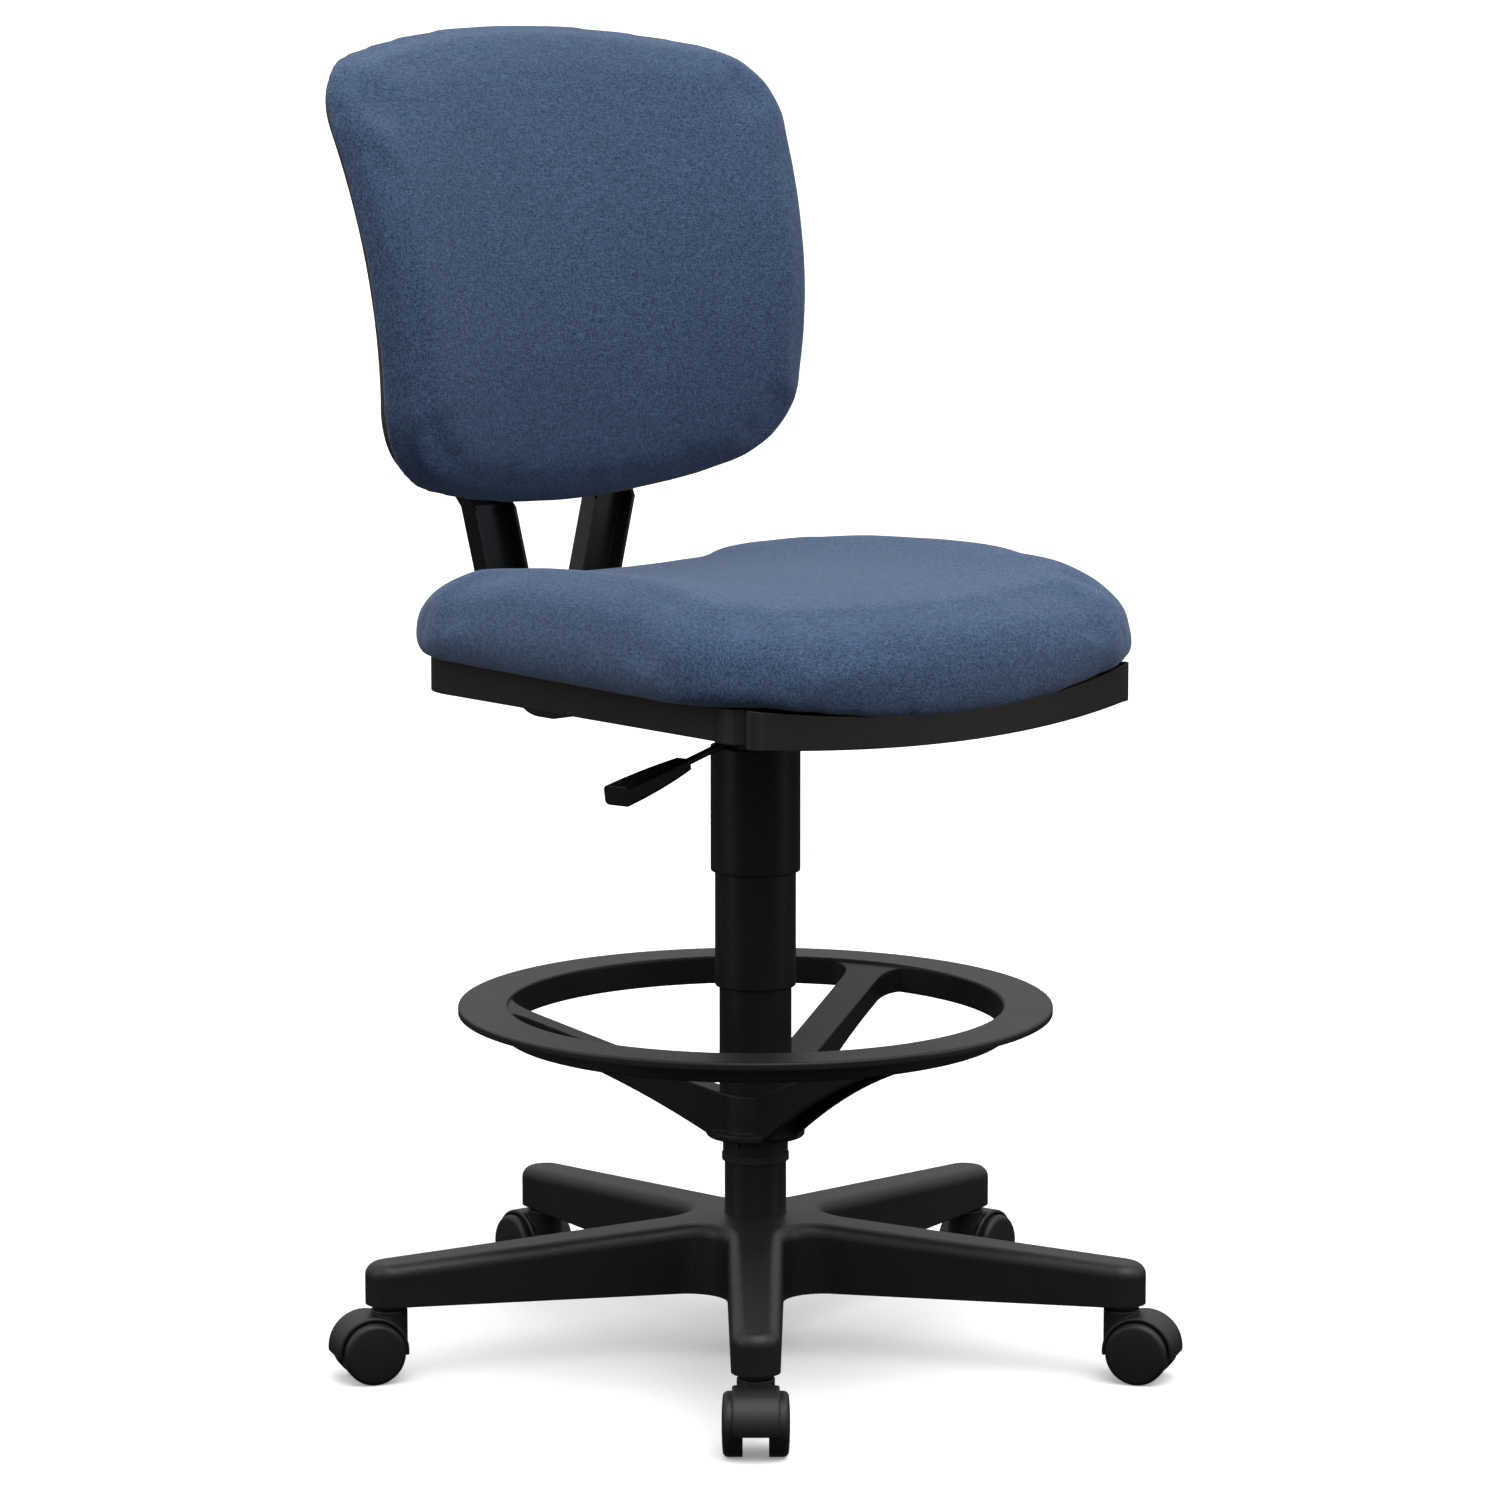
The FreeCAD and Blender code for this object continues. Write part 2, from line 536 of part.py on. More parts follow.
def spoke_profile(side_wall):
    """Side view of the spokes as a turned solid, drawn in by a wall on top and run out below."""
    inner_r = RING_OUTER_R - RING_WIDTH
    roof_ring = RING_TOP_Z - RING_FLANGE * 0.3 - side_wall
    roof_hub = RING_HUB_TOP_Z - side_wall
    floor_drop = 30.0 if side_wall else 0.0
    root = xyz(RING_HUB_FLANGE_R - 4, 0, RING_HUB_BOTTOM_Z - floor_drop)
    tip = xyz(inner_r + 4, 0, RING_TOP_Z - SPOKE_RING_DEPTH - floor_drop)
    corners = [tip, xyz(inner_r + 4, 0, roof_ring), xyz(RING_HUB_R, 0, roof_hub), xyz(0, 0, roof_hub),
               xyz(0, 0, RING_HUB_BOTTOM_Z - floor_drop), root]
    edges = [line(a, b) for a, b in zip(corners, corners[1:])]
    edges.append(arc(root, (root + tip) * 0.5 + xyz(0, 0, SPOKE_ARCH), tip))
    return Part.Face(Part.Wire(edges)).revolve(xyz(0, 0, 0), xyz(0, 0, 1), 360)


def foot_ring():
    """Moulded ring with a flat flange to stand on, an inner skirt, an outer lip and three hollow spokes."""
    inner_r = RING_OUTER_R - RING_WIDTH
    skirt_r = inner_r + RING_SKIRT_WALL
    rim = revolved([(inner_r, RING_TOP_Z), (inner_r, RING_TOP_Z - RING_SKIRT_DEPTH),
                    (skirt_r, RING_TOP_Z - RING_SKIRT_DEPTH), (skirt_r, RING_TOP_Z - RING_FLANGE),
                    (RING_OUTER_R - RING_SKIRT_WALL, RING_TOP_Z - RING_FLANGE),
                    (RING_OUTER_R - RING_SKIRT_WALL, RING_TOP_Z - RING_LIP_DEPTH),
                    (RING_OUTER_R, RING_TOP_Z - RING_LIP_DEPTH), (RING_OUTER_R, RING_TOP_Z)])
    corners = edges_where(rim, lambda b: b.XLength > 2 * inner_r - 1 and b.ZMin > RING_TOP_Z - 0.01)
    rim = rim.makeFillet(1.6, corners)
    plan = spoke_outline()
    plan.translate(xyz(0, 0, RING_HUB_BOTTOM_Z - 40))
    spoke = plan.extrude(xyz(0, 0, RING_TOP_Z)).common(spoke_profile(0.0))
    pocket_plan = box((-SPOKE_WIDTH / 2 + SPOKE_WALL, SPOKE_WIDTH / 2 - SPOKE_WALL),
                      (-inner_r + 6, -RING_HUB_R - 10), (RING_HUB_BOTTOM_Z - 40, RING_TOP_Z))
    spoke = spoke.cut(pocket_plan.common(spoke_profile(SPOKE_WALL)))
    spokes = [turned(spoke, index * 360.0 / SPOKE_COUNT) for index in range(SPOKE_COUNT)]
    hub = tube(RING_HUB_R, 0, RING_HUB_BOTTOM_Z, RING_HUB_TOP_Z)
    flange = tube(RING_HUB_FLANGE_R, 0, RING_HUB_BOTTOM_Z, RING_HUB_BOTTOM_Z + 6)
    lower = edges_where(flange, lambda b: b.ZMax < RING_HUB_BOTTOM_Z + 0.01)
    flange = flange.makeFillet(2.0, lower)
    body = joined(rim, *spokes, hub, flange)
    bore = tube(TUBE_R + RUNNING_GAP + COLLET_WALL, 0, RING_HUB_BOTTOM_Z - 10, RING_HUB_TOP_Z + 60)
    return turned(body.cut(bore), RING_TURN)


def ring_collet():
    """Split sleeve that grips the stand tube inside the ring's hub."""
    inner = TUBE_R + RUNNING_GAP
    sleeve = tube(inner + COLLET_WALL, inner, COLLET_BOTTOM_Z, COLLET_BOTTOM_Z + COLLET_LENGTH)
    slot = box((-1.2, 1.2), (-40, 0), (COLLET_BOTTOM_Z + 8, COLLET_BOTTOM_Z + COLLET_LENGTH + 1))
    for index in range(SPOKE_COUNT):
        sleeve = sleeve.cut(turned(slot, RING_TURN + 60 + index * 360.0 / SPOKE_COUNT))
    return sleeve


def collet_band():
    inner = TUBE_R + RUNNING_GAP
    band = tube(inner + COLLET_WALL + 0.8, inner + 0.2, COLLET_BOTTOM_Z - 6, COLLET_BOTTOM_Z)
    outer = edges_where(band, lambda b: b.XLength > 2 * (inner + COLLET_WALL) and b.ZLength < 0.01)
    return band.makeFillet(0.6, outer)


# ---------------------------------------------------------------- seat plate and lever
def on_lever(distance, side, up):
    """A point in the lever's own frame: distance out from the column axis, side, and up from its axis."""
    sweep = math.radians(LEVER_SWEEP)
    droop = math.radians(LEVER_DROOP)
    x = -distance * math.cos(sweep) + side * math.sin(sweep) - up * math.sin(droop) * math.cos(sweep)
    y = -distance * math.sin(sweep) - side * math.cos(sweep) - up * math.sin(droop) * math.sin(sweep)
    return xyz(x, y, lever_axis_z(distance) + up * math.cos(droop))


def seat_plate():
    """Fixed seat plate: flanged pan, taper hub on two gussets, and ears for the lever's pivot."""
    top = SEAT_BASE_Z
    low = top - PAN_DEPTH
    pan = box((-PAN_HALF_WIDTH, PAN_HALF_WIDTH), (PAN_FRONT_Y, PAN_REAR_Y), (low, top))
    corners = edges_where(pan, lambda b: b.ZLength > PAN_DEPTH - 1)
    pan = pan.makeFillet(PAN_CORNER_R, corners)
    inside = box((-PAN_HALF_WIDTH + PLATE_T, PAN_HALF_WIDTH - PLATE_T),
                 (PAN_FRONT_Y + PLATE_T, PAN_REAR_Y - PLATE_T), (low - 1, top - PLATE_T))
    upright = edges_where(inside, lambda b: b.ZLength > PAN_DEPTH - PLATE_T)
    inside = inside.makeFillet(PAN_CORNER_R - PLATE_T, upright)
    pan = pan.cut(inside)
    flange = box((-PAN_HALF_WIDTH - FLANGE_MARGIN_X, PAN_HALF_WIDTH + FLANGE_MARGIN_X),
                 (PAN_FRONT_Y - FLANGE_MARGIN_Y, PAN_REAR_Y + FLANGE_MARGIN_Y), (top - PLATE_T, top))
    flange = flange.makeFillet(12.0, edges_where(flange, lambda b: b.ZLength > PLATE_T - 0.1))
    hub = tube(TAPER_HUB_R, 0, TAPER_HUB_BOTTOM_Z, GAS_TOP_Z)
    collar = tube(TAPER_HUB_R, GAS_R, GAS_TOP_Z - 1, top - 1)
    collar = collar.common(box((-HUB_COLLAR_HALF_WIDTH, HUB_COLLAR_HALF_WIDTH), (-TAPER_HUB_R, TAPER_HUB_R),
                               (GAS_TOP_Z - 1, top - 1)))
    gusset_low = SEAT_BASE_Z - COVER_TOP_DROP + 2
    front = polygon([xyz(-2, -TAPER_HUB_R + 2, gusset_low), xyz(-2, PAN_FRONT_Y + 1, low + 4),
                     xyz(-2, PAN_FRONT_Y + 1, top - 1), xyz(-2, -TAPER_HUB_R + 2, top - 1)])
    rear = polygon([xyz(-2, TAPER_HUB_R - 2, gusset_low), xyz(-2, BAR_FRONT_Y - 4, low + 4),
                    xyz(-2, BAR_FRONT_Y - 4, top - 1), xyz(-2, TAPER_HUB_R - 2, top - 1)])
    gussets = [Part.Face(outline).extrude(xyz(4, 0, 0)) for outline in (front, rear)]
    ear_low = lever_axis_z(LEVER_PIVOT_T) - 2.5 * PIVOT_PIN_R
    ears = []
    for side in (-1, 1):
        ear = box((-LEVER_PIVOT_T - 6, -LEVER_PIVOT_T + 6), (side * 8 - 1.5, side * 8 + 1.5),
                  (ear_low, top - 1))
        ears.append(turned(ear, LEVER_SWEEP))
    body = joined(pan, flange, hub, collar, *gussets, *ears)
    cuts = [tube(GAS_R, 0, TAPER_HUB_BOTTOM_Z - 1, GAS_TOP_Z + 1),
            box((-BAR_HALF_WIDTH - 2, BAR_HALF_WIDTH + 2), (PAN_REAR_Y - 2 * PLATE_T, PAN_REAR_Y + 1),
                (low - 1, top - PLATE_T)),
            pivot_pin()]
    cuts += [tube(BOLT_R, 0, top - PLATE_T - 1, top + 1, spot) for spot in seat_bolt_spots()]
    cuts += [tube(BOLT_R, 0, top - PLATE_T - 1, top + 1, spot) for spot in bar_bolt_spots()]
    return body.cut(cuts[0].multiFuse(cuts[1:]))


def seat_bolt_spots():
    return [(x, y) for x in (-BOLT_X, BOLT_X) for y in (BOLT_FRONT_Y, BOLT_REAR_Y)]


def bar_bolt_spots():
    return [(x, BAR_FRONT_Y + 18) for x in (-22.0, 22.0)]


def pivot_pin():
    middle = on_lever(LEVER_PIVOT_T, 0, 0)
    sweep = math.radians(LEVER_SWEEP)
    direction = Vector(math.sin(sweep), -math.cos(sweep), 0)
    return Part.makeCylinder(PIVOT_PIN_R, 22, middle - direction * 11, direction)


def lever_rod():
    """Round rod with an eye on the pivot pin; its inner end presses the valve pin."""
    start = on_lever(-6, 0, 0)
    end = on_lever(LEVER_NECK_T + 12, 0, 0)
    rod = Part.makeCylinder(LEVER_ROD_R, (end - start).Length, start, end - start)
    middle = on_lever(LEVER_PIVOT_T, 0, 0)
    sweep = math.radians(LEVER_SWEEP)
    direction = Vector(math.sin(sweep), -math.cos(sweep), 0)
    eye = Part.makeCylinder(PIVOT_PIN_R + 2.6, 12, middle - direction * 6, direction)
    bore = Part.makeCylinder(PIVOT_PIN_R + RUNNING_GAP, 24, middle - direction * 12, direction)
    return joined(rod, eye).cut(bore)


def paddle_section(distance, width, height, up):
    corner = min(width, height) * 0.25
    half_w = width / 2
    half_h = height / 2
    bends = [(half_w, half_h), (-half_w, half_h), (-half_w, -half_h), (half_w, -half_h)]
    edges = []
    starts = []
    for x, z in bends:
        sign_x = math.copysign(1, x)
        sign_z = math.copysign(1, z)
        turn = 1 - math.sqrt(0.5)
        flat = xyz(x - sign_x * corner, z, 0)
        upright = xyz(x, z - sign_z * corner, 0)
        middle = xyz(x - sign_x * corner * turn, z - sign_z * corner * turn, 0)
        starts.append((upright, middle, flat) if sign_x == sign_z else (flat, middle, upright))
    for index, (first, middle, last) in enumerate(starts):
        place = [on_lever(distance, p.x, p.y + up) for p in (first, middle, last)]
        edges.append(arc(*place))
        following = starts[(index + 1) % 4][0]
        edges.append(line(place[2], on_lever(distance, following.x, following.y + up)))
    return Part.Wire(edges)


def lever_paddle():
    """Moulded paddle on the rod's outer end, thickening and widening outwards."""
    sections = [paddle_section(LEVER_NECK_T, PADDLE_WIDTH * 0.6, PADDLE_HEIGHT * 0.62, 0),
                paddle_section(LEVER_NECK_T + 30, PADDLE_WIDTH * 0.82, PADDLE_HEIGHT * 0.84, 0),
                paddle_section(LEVER_END_T, PADDLE_WIDTH, PADDLE_HEIGHT, 0.5)]
    body = Part.makeLoft(sections, True)
    start = on_lever(LEVER_NECK_T - 1, 0, 0)
    end = on_lever(LEVER_NECK_T + 12, 0, 0)
    return body.cut(Part.makeCylinder(LEVER_ROD_R, (end - start).Length, start, end - start))


# ---------------------------------------------------------------- seat
def shell_outline():
    """Plan of the seat shell: straight sides, rounded rear corners, and a bowed fascia past a small notch."""
    front_x = SHELL_HALF_WIDTH_FRONT
    rear_x = SHELL_HALF_WIDTH_REAR
    corner = SHELL_REAR_CORNER_R
    pillar = SHELL_PILLAR
    groove_y = SHELL_NOTCH_Y - 3
    fascia_y = SHELL_NOTCH_Y - FASCIA_STEP
    inward = corner * (1 - math.sqrt(0.5))
    side = [line(xyz(0, SHELL_REAR_Y), xyz(rear_x - corner, SHELL_REAR_Y)),
            arc(xyz(rear_x - corner, SHELL_REAR_Y), xyz(rear_x - inward, SHELL_REAR_Y - inward),
                xyz(rear_x, SHELL_REAR_Y - corner)),
            line(xyz(rear_x, SHELL_REAR_Y - corner), xyz(front_x - 2, SHELL_NOTCH_Y + 3 * pillar)),
            arc(xyz(front_x - 2, SHELL_NOTCH_Y + 3 * pillar), xyz(front_x + 2, SHELL_NOTCH_Y + 1.2 * pillar),
                xyz(front_x, SHELL_NOTCH_Y + 2)),
            line(xyz(front_x, SHELL_NOTCH_Y + 2), xyz(front_x - 6, groove_y)),
            line(xyz(front_x - 6, groove_y), xyz(FASCIA_HALF_WIDTH + 1.5, groove_y - 5)),
            arc(xyz(FASCIA_HALF_WIDTH + 1.5, groove_y - 5), xyz(FASCIA_HALF_WIDTH, fascia_y + 1),
                xyz(FASCIA_HALF_WIDTH - 8, fascia_y - 1.5))]
    mirrored_side = [mirrored(edge) for edge in side]
    bow_end = xyz(FASCIA_HALF_WIDTH - 8, fascia_y - 1.5)
    bow = arc(bow_end, xyz(0, fascia_y - FASCIA_BOW), xyz(-bow_end.x, bow_end.y))
    return Part.Face(Part.Wire(Part.__sortEdges__(side + mirrored_side + [bow])))


def raised(face, low, high):
    copy = face.copy()
    copy.translate(xyz(0, 0, low))
    return copy.extrude(xyz(0, 0, high - low))


def arched_band(edge_z, middle_z, limit_z):
    """A solid in front of the notch between an arched line across the fascia and a flat limit."""
    half = FASCIA_HALF_WIDTH + 30
    near = SHELL_NOTCH_Y - 3.5
    start = xyz(-half, near, edge_z)
    end = xyz(half, near, edge_z)
    far_end = xyz(half, near, limit_z)
    far_start = xyz(-half, near, limit_z)
    outline = [arc(start, xyz(0, near, middle_z), end), line(end, far_end),
               line(far_end, far_start), line(far_start, start)]
    return Part.Face(Part.Wire(outline)).extrude(xyz(0, -120, 0))


def arm_hole_spots():
    return [(x, y) for x in (-ARM_HOLE_X, ARM_HOLE_X) for y in (-ARM_HOLE_SPACING / 2, ARM_HOLE_SPACING / 2)]


def shell_screw_spots():
    return [(x, y) for x in (-SHELL_SCREW_X, SHELL_SCREW_X) for y in (-SHELL_SCREW_Y, SHELL_SCREW_Y)]


def seat_shell():
    """Moulded pan under the cushion; its front fascia hangs lower and dips in the middle."""
    outline = shell_outline()
    inner = inset(outline, SHELL_WALL)
    low = SEAT_BASE_Z
    top = SEAT_BASE_Z + SHELL_HEIGHT
    outer = raised(outline, low, top)
    pan = outer.cut(raised(inner, low + SHELL_WALL, top + 1))
    skirt = raised(outline, low - FASCIA_DROP, low + 4).cut(raised(inner, low - FASCIA_DROP - 1, low + 5))
    ahead = box((-400, 400), (-400, SHELL_NOTCH_Y - 8), (0, 2000))
    skirt = skirt.common(ahead).cut(arched_band(low, low - FASCIA_DROP, low - FASCIA_DROP - 40))
    shell = joined(pan, skirt)
    shell = shell.cut(arched_band(top + 5, top - FASCIA_DIP, top + 60))
    holes = [tube(BOLT_R, 0, low - 1, low + SHELL_WALL + 1, spot) for spot in seat_bolt_spots()]
    holes += [tube(2.0, 0, low - 1, low + SHELL_WALL + 1, spot) for spot in shell_screw_spots()]
    holes += [tube(ARM_HOLE_R, 0, low - 1, low + SHELL_WALL + 1, spot) for spot in arm_hole_spots()]
    return shell.cut(holes[0].multiFuse(holes[1:]))


def seat_board():
    low = SEAT_BASE_Z + SHELL_WALL
    board = raised(inset(shell_outline(), SHELL_WALL + BOARD_MARGIN), low, low + BOARD_T)
    cuts = [tube(4.0, 0, low - 1, low + BOARD_T + 1, spot) for spot in seat_bolt_spots() + arm_hole_spots()]
    cuts += [tube(10.0, 0, low + BOARD_T - 1.5, low + BOARD_T + 1, spot)
             for spot in seat_bolt_spots() + arm_hole_spots()]
    cuts += [tube(2.0, 0, low - 1, low + BOARD_T - 2, spot) for spot in shell_screw_spots()]
    return board.cut(cuts[0].multiFuse(cuts[1:]))


def tee_nuts():
    """Flanged nuts let into the board's top, over the seat bolts and the spare arm holes."""
    top = SEAT_BASE_Z + SHELL_WALL + BOARD_T - 0.2
    nuts = []
    spots = [(spot, BOLT_R) for spot in seat_bolt_spots()] + [(spot, ARM_HOLE_R) for spot in arm_hole_spots()]
    for spot, bore in spots:
        flange = tube(9.5, bore, top - 1.3, top, spot)
        barrel = tube(4.0, bore, top - 9.0, top - 1.3, spot)
        nuts.append(joined(flange, barrel))
    return Part.makeCompound(nuts)


def hex_head(spot, low, high, across_flats):
    radius = across_flats / math.sqrt(3)
    corners = [xyz(spot[0] + radius * math.cos(math.radians(60 * k)),
                   spot[1] + radius * math.sin(math.radians(60 * k)), low) for k in range(6)]
    return Part.Face(polygon(corners)).extrude(xyz(0, 0, high - low))


def seat_bolts():
    low = SEAT_BASE_Z - PLATE_T
    top = SEAT_BASE_Z + SHELL_WALL + BOARD_T - 0.5
    return Part.makeCompound([joined(hex_head(spot, low - 4, low, HEX_SIZE), tube(BOLT_R, 0, low, top, spot))
                              for spot in seat_bolt_spots()])


def shell_screws():
    low = SEAT_BASE_Z
    return Part.makeCompound([joined(tube(4.0, 0, low - 2.2, low, spot), tube(2.0, 0, low, low + 13.0, spot))
                              for spot in shell_screw_spots()])


def cushion_outline():
    """Plan of the seat cushion: wider at the front, large corners, bowed front edge."""
    front_x = CUSHION_HALF_WIDTH_FRONT
    rear_x = CUSHION_HALF_WIDTH_REAR
    r = CUSHION_CORNER_R
    inward = r * (1 - math.sqrt(0.5))
    front_y = CUSHION_FRONT_Y + CUSHION_BOW
    side = [line(xyz(0, CUSHION_REAR_Y), xyz(rear_x - r, CUSHION_REAR_Y)),
            arc(xyz(rear_x - r, CUSHION_REAR_Y), xyz(rear_x - inward, CUSHION_REAR_Y - inward),
                xyz(rear_x, CUSHION_REAR_Y - r)),
            line(xyz(rear_x, CUSHION_REAR_Y - r), xyz(front_x, front_y + r)),
            arc(xyz(front_x, front_y + r), xyz(front_x - inward, front_y + inward), xyz(front_x - r, front_y))]
    bow_edge = arc(xyz(front_x - r, front_y), xyz(0, CUSHION_FRONT_Y), xyz(r - front_x, front_y))
    return Part.Face(Part.Wire(Part.__sortEdges__(side + [mirrored(edge) for edge in side] + [bow_edge])))


def seat_cushion():
    """Foam and cover as one closed solid: a plug inside the shell and a wider body over its rim."""
    board_top = SEAT_BASE_Z + SHELL_WALL + BOARD_T
    rim = SEAT_BASE_Z + SHELL_HEIGHT + SOFT_GAP
    plug = raised(inset(shell_outline(), SHELL_WALL + 2 * SOFT_GAP), board_top + SOFT_GAP, rim + 5)
    body = raised(cushion_outline(), rim, CUSHION_TOP_Z)
    body = body.makeFillet(CUSHION_EDGE_R, edges_where(body, lambda b: b.ZMin > CUSHION_TOP_Z - 1))
    body = body.makeFillet(10.0, edges_where(body, lambda b: b.ZMax < rim + 0.5))
    return joined(plug, body)


# ---------------------------------------------------------------- back
def middle_surface_y(z):
    """Side-view curve of the back's middle surface: bowed forward at the lumbar."""
    radius = UPPER_CURVE_R if z > LUMBAR_Z else LOWER_CURVE_R
    return LUMBAR_Y + (z - LUMBAR_Z) ** 2 / (2 * radius)


def back_layer(front, rear, margin):
    """A curved slab between two offsets from the middle surface, wrapped round the sitter."""
    half = BACK_HALF_WIDTH_TOP + 20
    sag = half ** 2 / (2 * WRAP_R)
    sections = []
    low = BACK_BOTTOM_Z - 8
    high = BACK_TOP_Z + 8
    for index in range(BACK_LAYER_STATIONS):
        z = low + (high - low) * index / (BACK_LAYER_STATIONS - 1)
        y_front = middle_surface_y(z) + front
        y_rear = middle_surface_y(z) + rear
        sections.append(Part.Wire([
            arc(xyz(-half, y_front - sag, z), xyz(0, y_front, z), xyz(half, y_front - sag, z)),
            line(xyz(half, y_front - sag, z), xyz(half, y_rear - sag, z)),
            arc(xyz(half, y_rear - sag, z), xyz(0, y_rear, z), xyz(-half, y_rear - sag, z)),
            line(xyz(-half, y_rear - sag, z), xyz(-half, y_front - sag, z))]))
    slab = Part.makeLoft(sections, True)
    outline = inset(back_outline(), margin) if margin else back_outline()
    prism = outline.extrude(xyz(0, 400, 0))
    return slab.common(prism)


def back_outline():
    """Front view of the back: crowned top, large corners, sides drawn in towards the bottom."""
    wide = BACK_HALF_WIDTH_TOP
    narrow = BACK_HALF_WIDTH_BOTTOM
    top = BACK_TOP_Z
    low = BACK_BOTTOM_Z

    def at(x, z):
        return xyz(x, 0, z)

    side = [arc(at(wide - 54, top - 19), at(wide - 14, top - 40), at(wide, top - 82)),
            line(at(wide, top - 82), at(narrow, low + 99)),
            arc(at(narrow, low + 99), at(narrow - 16, low + 50), at(narrow - 63, low + 20))]
    crown = arc(at(54 - wide, top - 19), at(0, top), at(wide - 54, top - 19))
    sill = arc(at(narrow - 63, low + 20), at(0, low), at(63 - narrow, low + 20))
    return Part.Face(Part.Wire(Part.__sortEdges__(side + [mirrored(edge) for edge in side] + [crown, sill])))


BOARD_FRONT = BACK_CUSHION_REAR + SOFT_GAP
BOARD_REAR = BOARD_FRONT + BACK_BOARD_T
ARM_TOP_Y = ARM_FRONT_Y + ARM_OFFSET_TOP


def arm_axis_x(z):
    """Distance of an upright arm's middle from the chair's mid-plane, measured at a height."""
    return 0.5 * ARM_WIDTH + 15.0 + (z - ARM_FORK_Z) * math.tan(math.radians(ARM_SPLAY))


def back_bolt_spots():
    return [(side * arm_axis_x(z), z) for side in (-1, 1) for z in BACK_BOLT_Z]


def rearward(radius, low_y, high_y, spot):
    """A cylinder along +Y at an (x, z) spot."""
    return Part.makeCylinder(radius, high_y - low_y, xyz(spot[0], low_y, spot[1]), Vector(0, 1, 0))


def bosses(radius, low_y, high_y):
    solids = [rearward(radius, low_y, high_y, spot) for spot in back_bolt_spots()]
    return solids[0].multiFuse(solids[1:])


def back_cushion():
    return back_layer(-BACK_CUSHION_FRONT, BACK_CUSHION_REAR, 0.0)


def back_board():
    """Curved inner board with four bosses that stand on the bracket."""
    board = back_layer(BOARD_FRONT, BOARD_REAR, BACK_BOARD_INSET)
    behind = back_layer(BOARD_FRONT + 2, BOARD_REAR + 60, BACK_BOARD_INSET)
    board = board.fuse(bosses(BACK_BOSS_R, LUMBAR_Y, ARM_TOP_Y).common(behind)).removeSplitter()
    return board.cut(bosses(BOLT_R, LUMBAR_Y + BOARD_REAR - 4, ARM_TOP_Y + 5))


def back_cover():
    """Thin rear cover with round openings for the board's bosses."""
    cover = back_layer(BOARD_REAR, BOARD_REAR + BACK_COVER_T, BACK_COVER_INSET)
    return cover.cut(bosses(BACK_BOSS_R + 0.5, LUMBAR_Y - 20, ARM_TOP_Y + 20))


def back_bolts():
    """Button-head bolts through the bracket's arms into the board's bosses."""
    rear = ARM_TOP_Y + ARM_RIM
    bolts = []
    for spot in back_bolt_spots():
        shank = rearward(BOLT_R, LUMBAR_Y + BOARD_REAR + 2, rear, spot)
        head = rearward(BOLT_HEAD_R, rear, rear + 3.2, spot)
        bolts.append(joined(shank, head))
    return Part.makeCompound(bolts)


def bracket_side_profile():
    """Side view of the back bracket: flat bar under the seat, bend, upright arms that lean back at the knee."""
    bar_top = SEAT_BASE_Z - PLATE_T
    bar_low = bar_top - BAR_T
    low_z = SEAT_BASE_Z - BAR_LOW_DROP
    bend = BAR_BEND_R
    rear_y = ARM_FRONT_Y + ARM_DEPTH
    diagonal = bend * (1 - math.sqrt(0.5))
    outer = [xyz(0, BAR_FRONT_Y, bar_low), xyz(0, PAN_REAR_Y + 10, bar_low), xyz(0, rear_y - bend - 20, low_z)]
    outer_end = xyz(0, rear_y - bend, low_z)
    outer_mid = xyz(0, rear_y - diagonal, low_z + diagonal)
    outer_up = xyz(0, rear_y, low_z + bend)
    knee_rear = xyz(0, rear_y, ARM_KNEE_Z)
    lean_rear = xyz(0, rear_y + ARM_OFFSET_TOP, ARM_KNEE_Z + ARM_LEAN_RISE + 4)
    top_rear = xyz(0, rear_y + ARM_OFFSET_TOP, ARM_TOP_Z)
    top_front = xyz(0, ARM_TOP_Y, ARM_TOP_Z)
    lean_front = xyz(0, ARM_TOP_Y, ARM_KNEE_Z + ARM_LEAN_RISE)
    knee_front = xyz(0, ARM_FRONT_Y, ARM_KNEE_Z - 2)
    inner_r = bend - BAR_T
    inner_up = xyz(0, rear_y - BAR_T, low_z + bend)
    front_up = xyz(0, ARM_FRONT_Y, low_z + bend + 22)
    inner_diagonal = inner_r * (1 - math.sqrt(0.5))
    inner_mid = xyz(0, rear_y - BAR_T - inner_diagonal, low_z + BAR_T + inner_diagonal)
    inner_end = xyz(0, rear_y - bend, low_z + BAR_T)
    top_line = [xyz(0, rear_y - bend - 20, low_z + BAR_T + 0.5), xyz(0, PAN_REAR_Y + 10, bar_top),
                xyz(0, BAR_FRONT_Y, bar_top)]
    edges = [line(outer[0], outer[1]), line(outer[1], outer[2]), line(outer[2], outer_end),
             arc(outer_end, outer_mid, outer_up), line(outer_up, knee_rear), line(knee_rear, lean_rear),
             line(lean_rear, top_rear), line(top_rear, top_front), line(top_front, lean_front),
             line(lean_front, knee_front), line(knee_front, front_up), line(front_up, inner_up),
             arc(inner_up, inner_mid, inner_end), line(inner_end, top_line[0]), line(top_line[0], top_line[1]),
             line(top_line[1], top_line[2]), line(top_line[2], outer[0])]
    return Part.Face(Part.Wire(edges))


def arm_outline(margin):
    """Front view of one upright arm, drawn in by a margin on its two long sides."""
    half = ARM_WIDTH / 2 - margin
    low = ARM_FORK_Z - 30
    high = ARM_TOP_Z + 5
    return [xyz(arm_axis_x(low) - half, 0, low), xyz(arm_axis_x(low) + half, 0, low),
            xyz(arm_axis_x(high) + half, 0, high), xyz(arm_axis_x(high) - half, 0, high)]


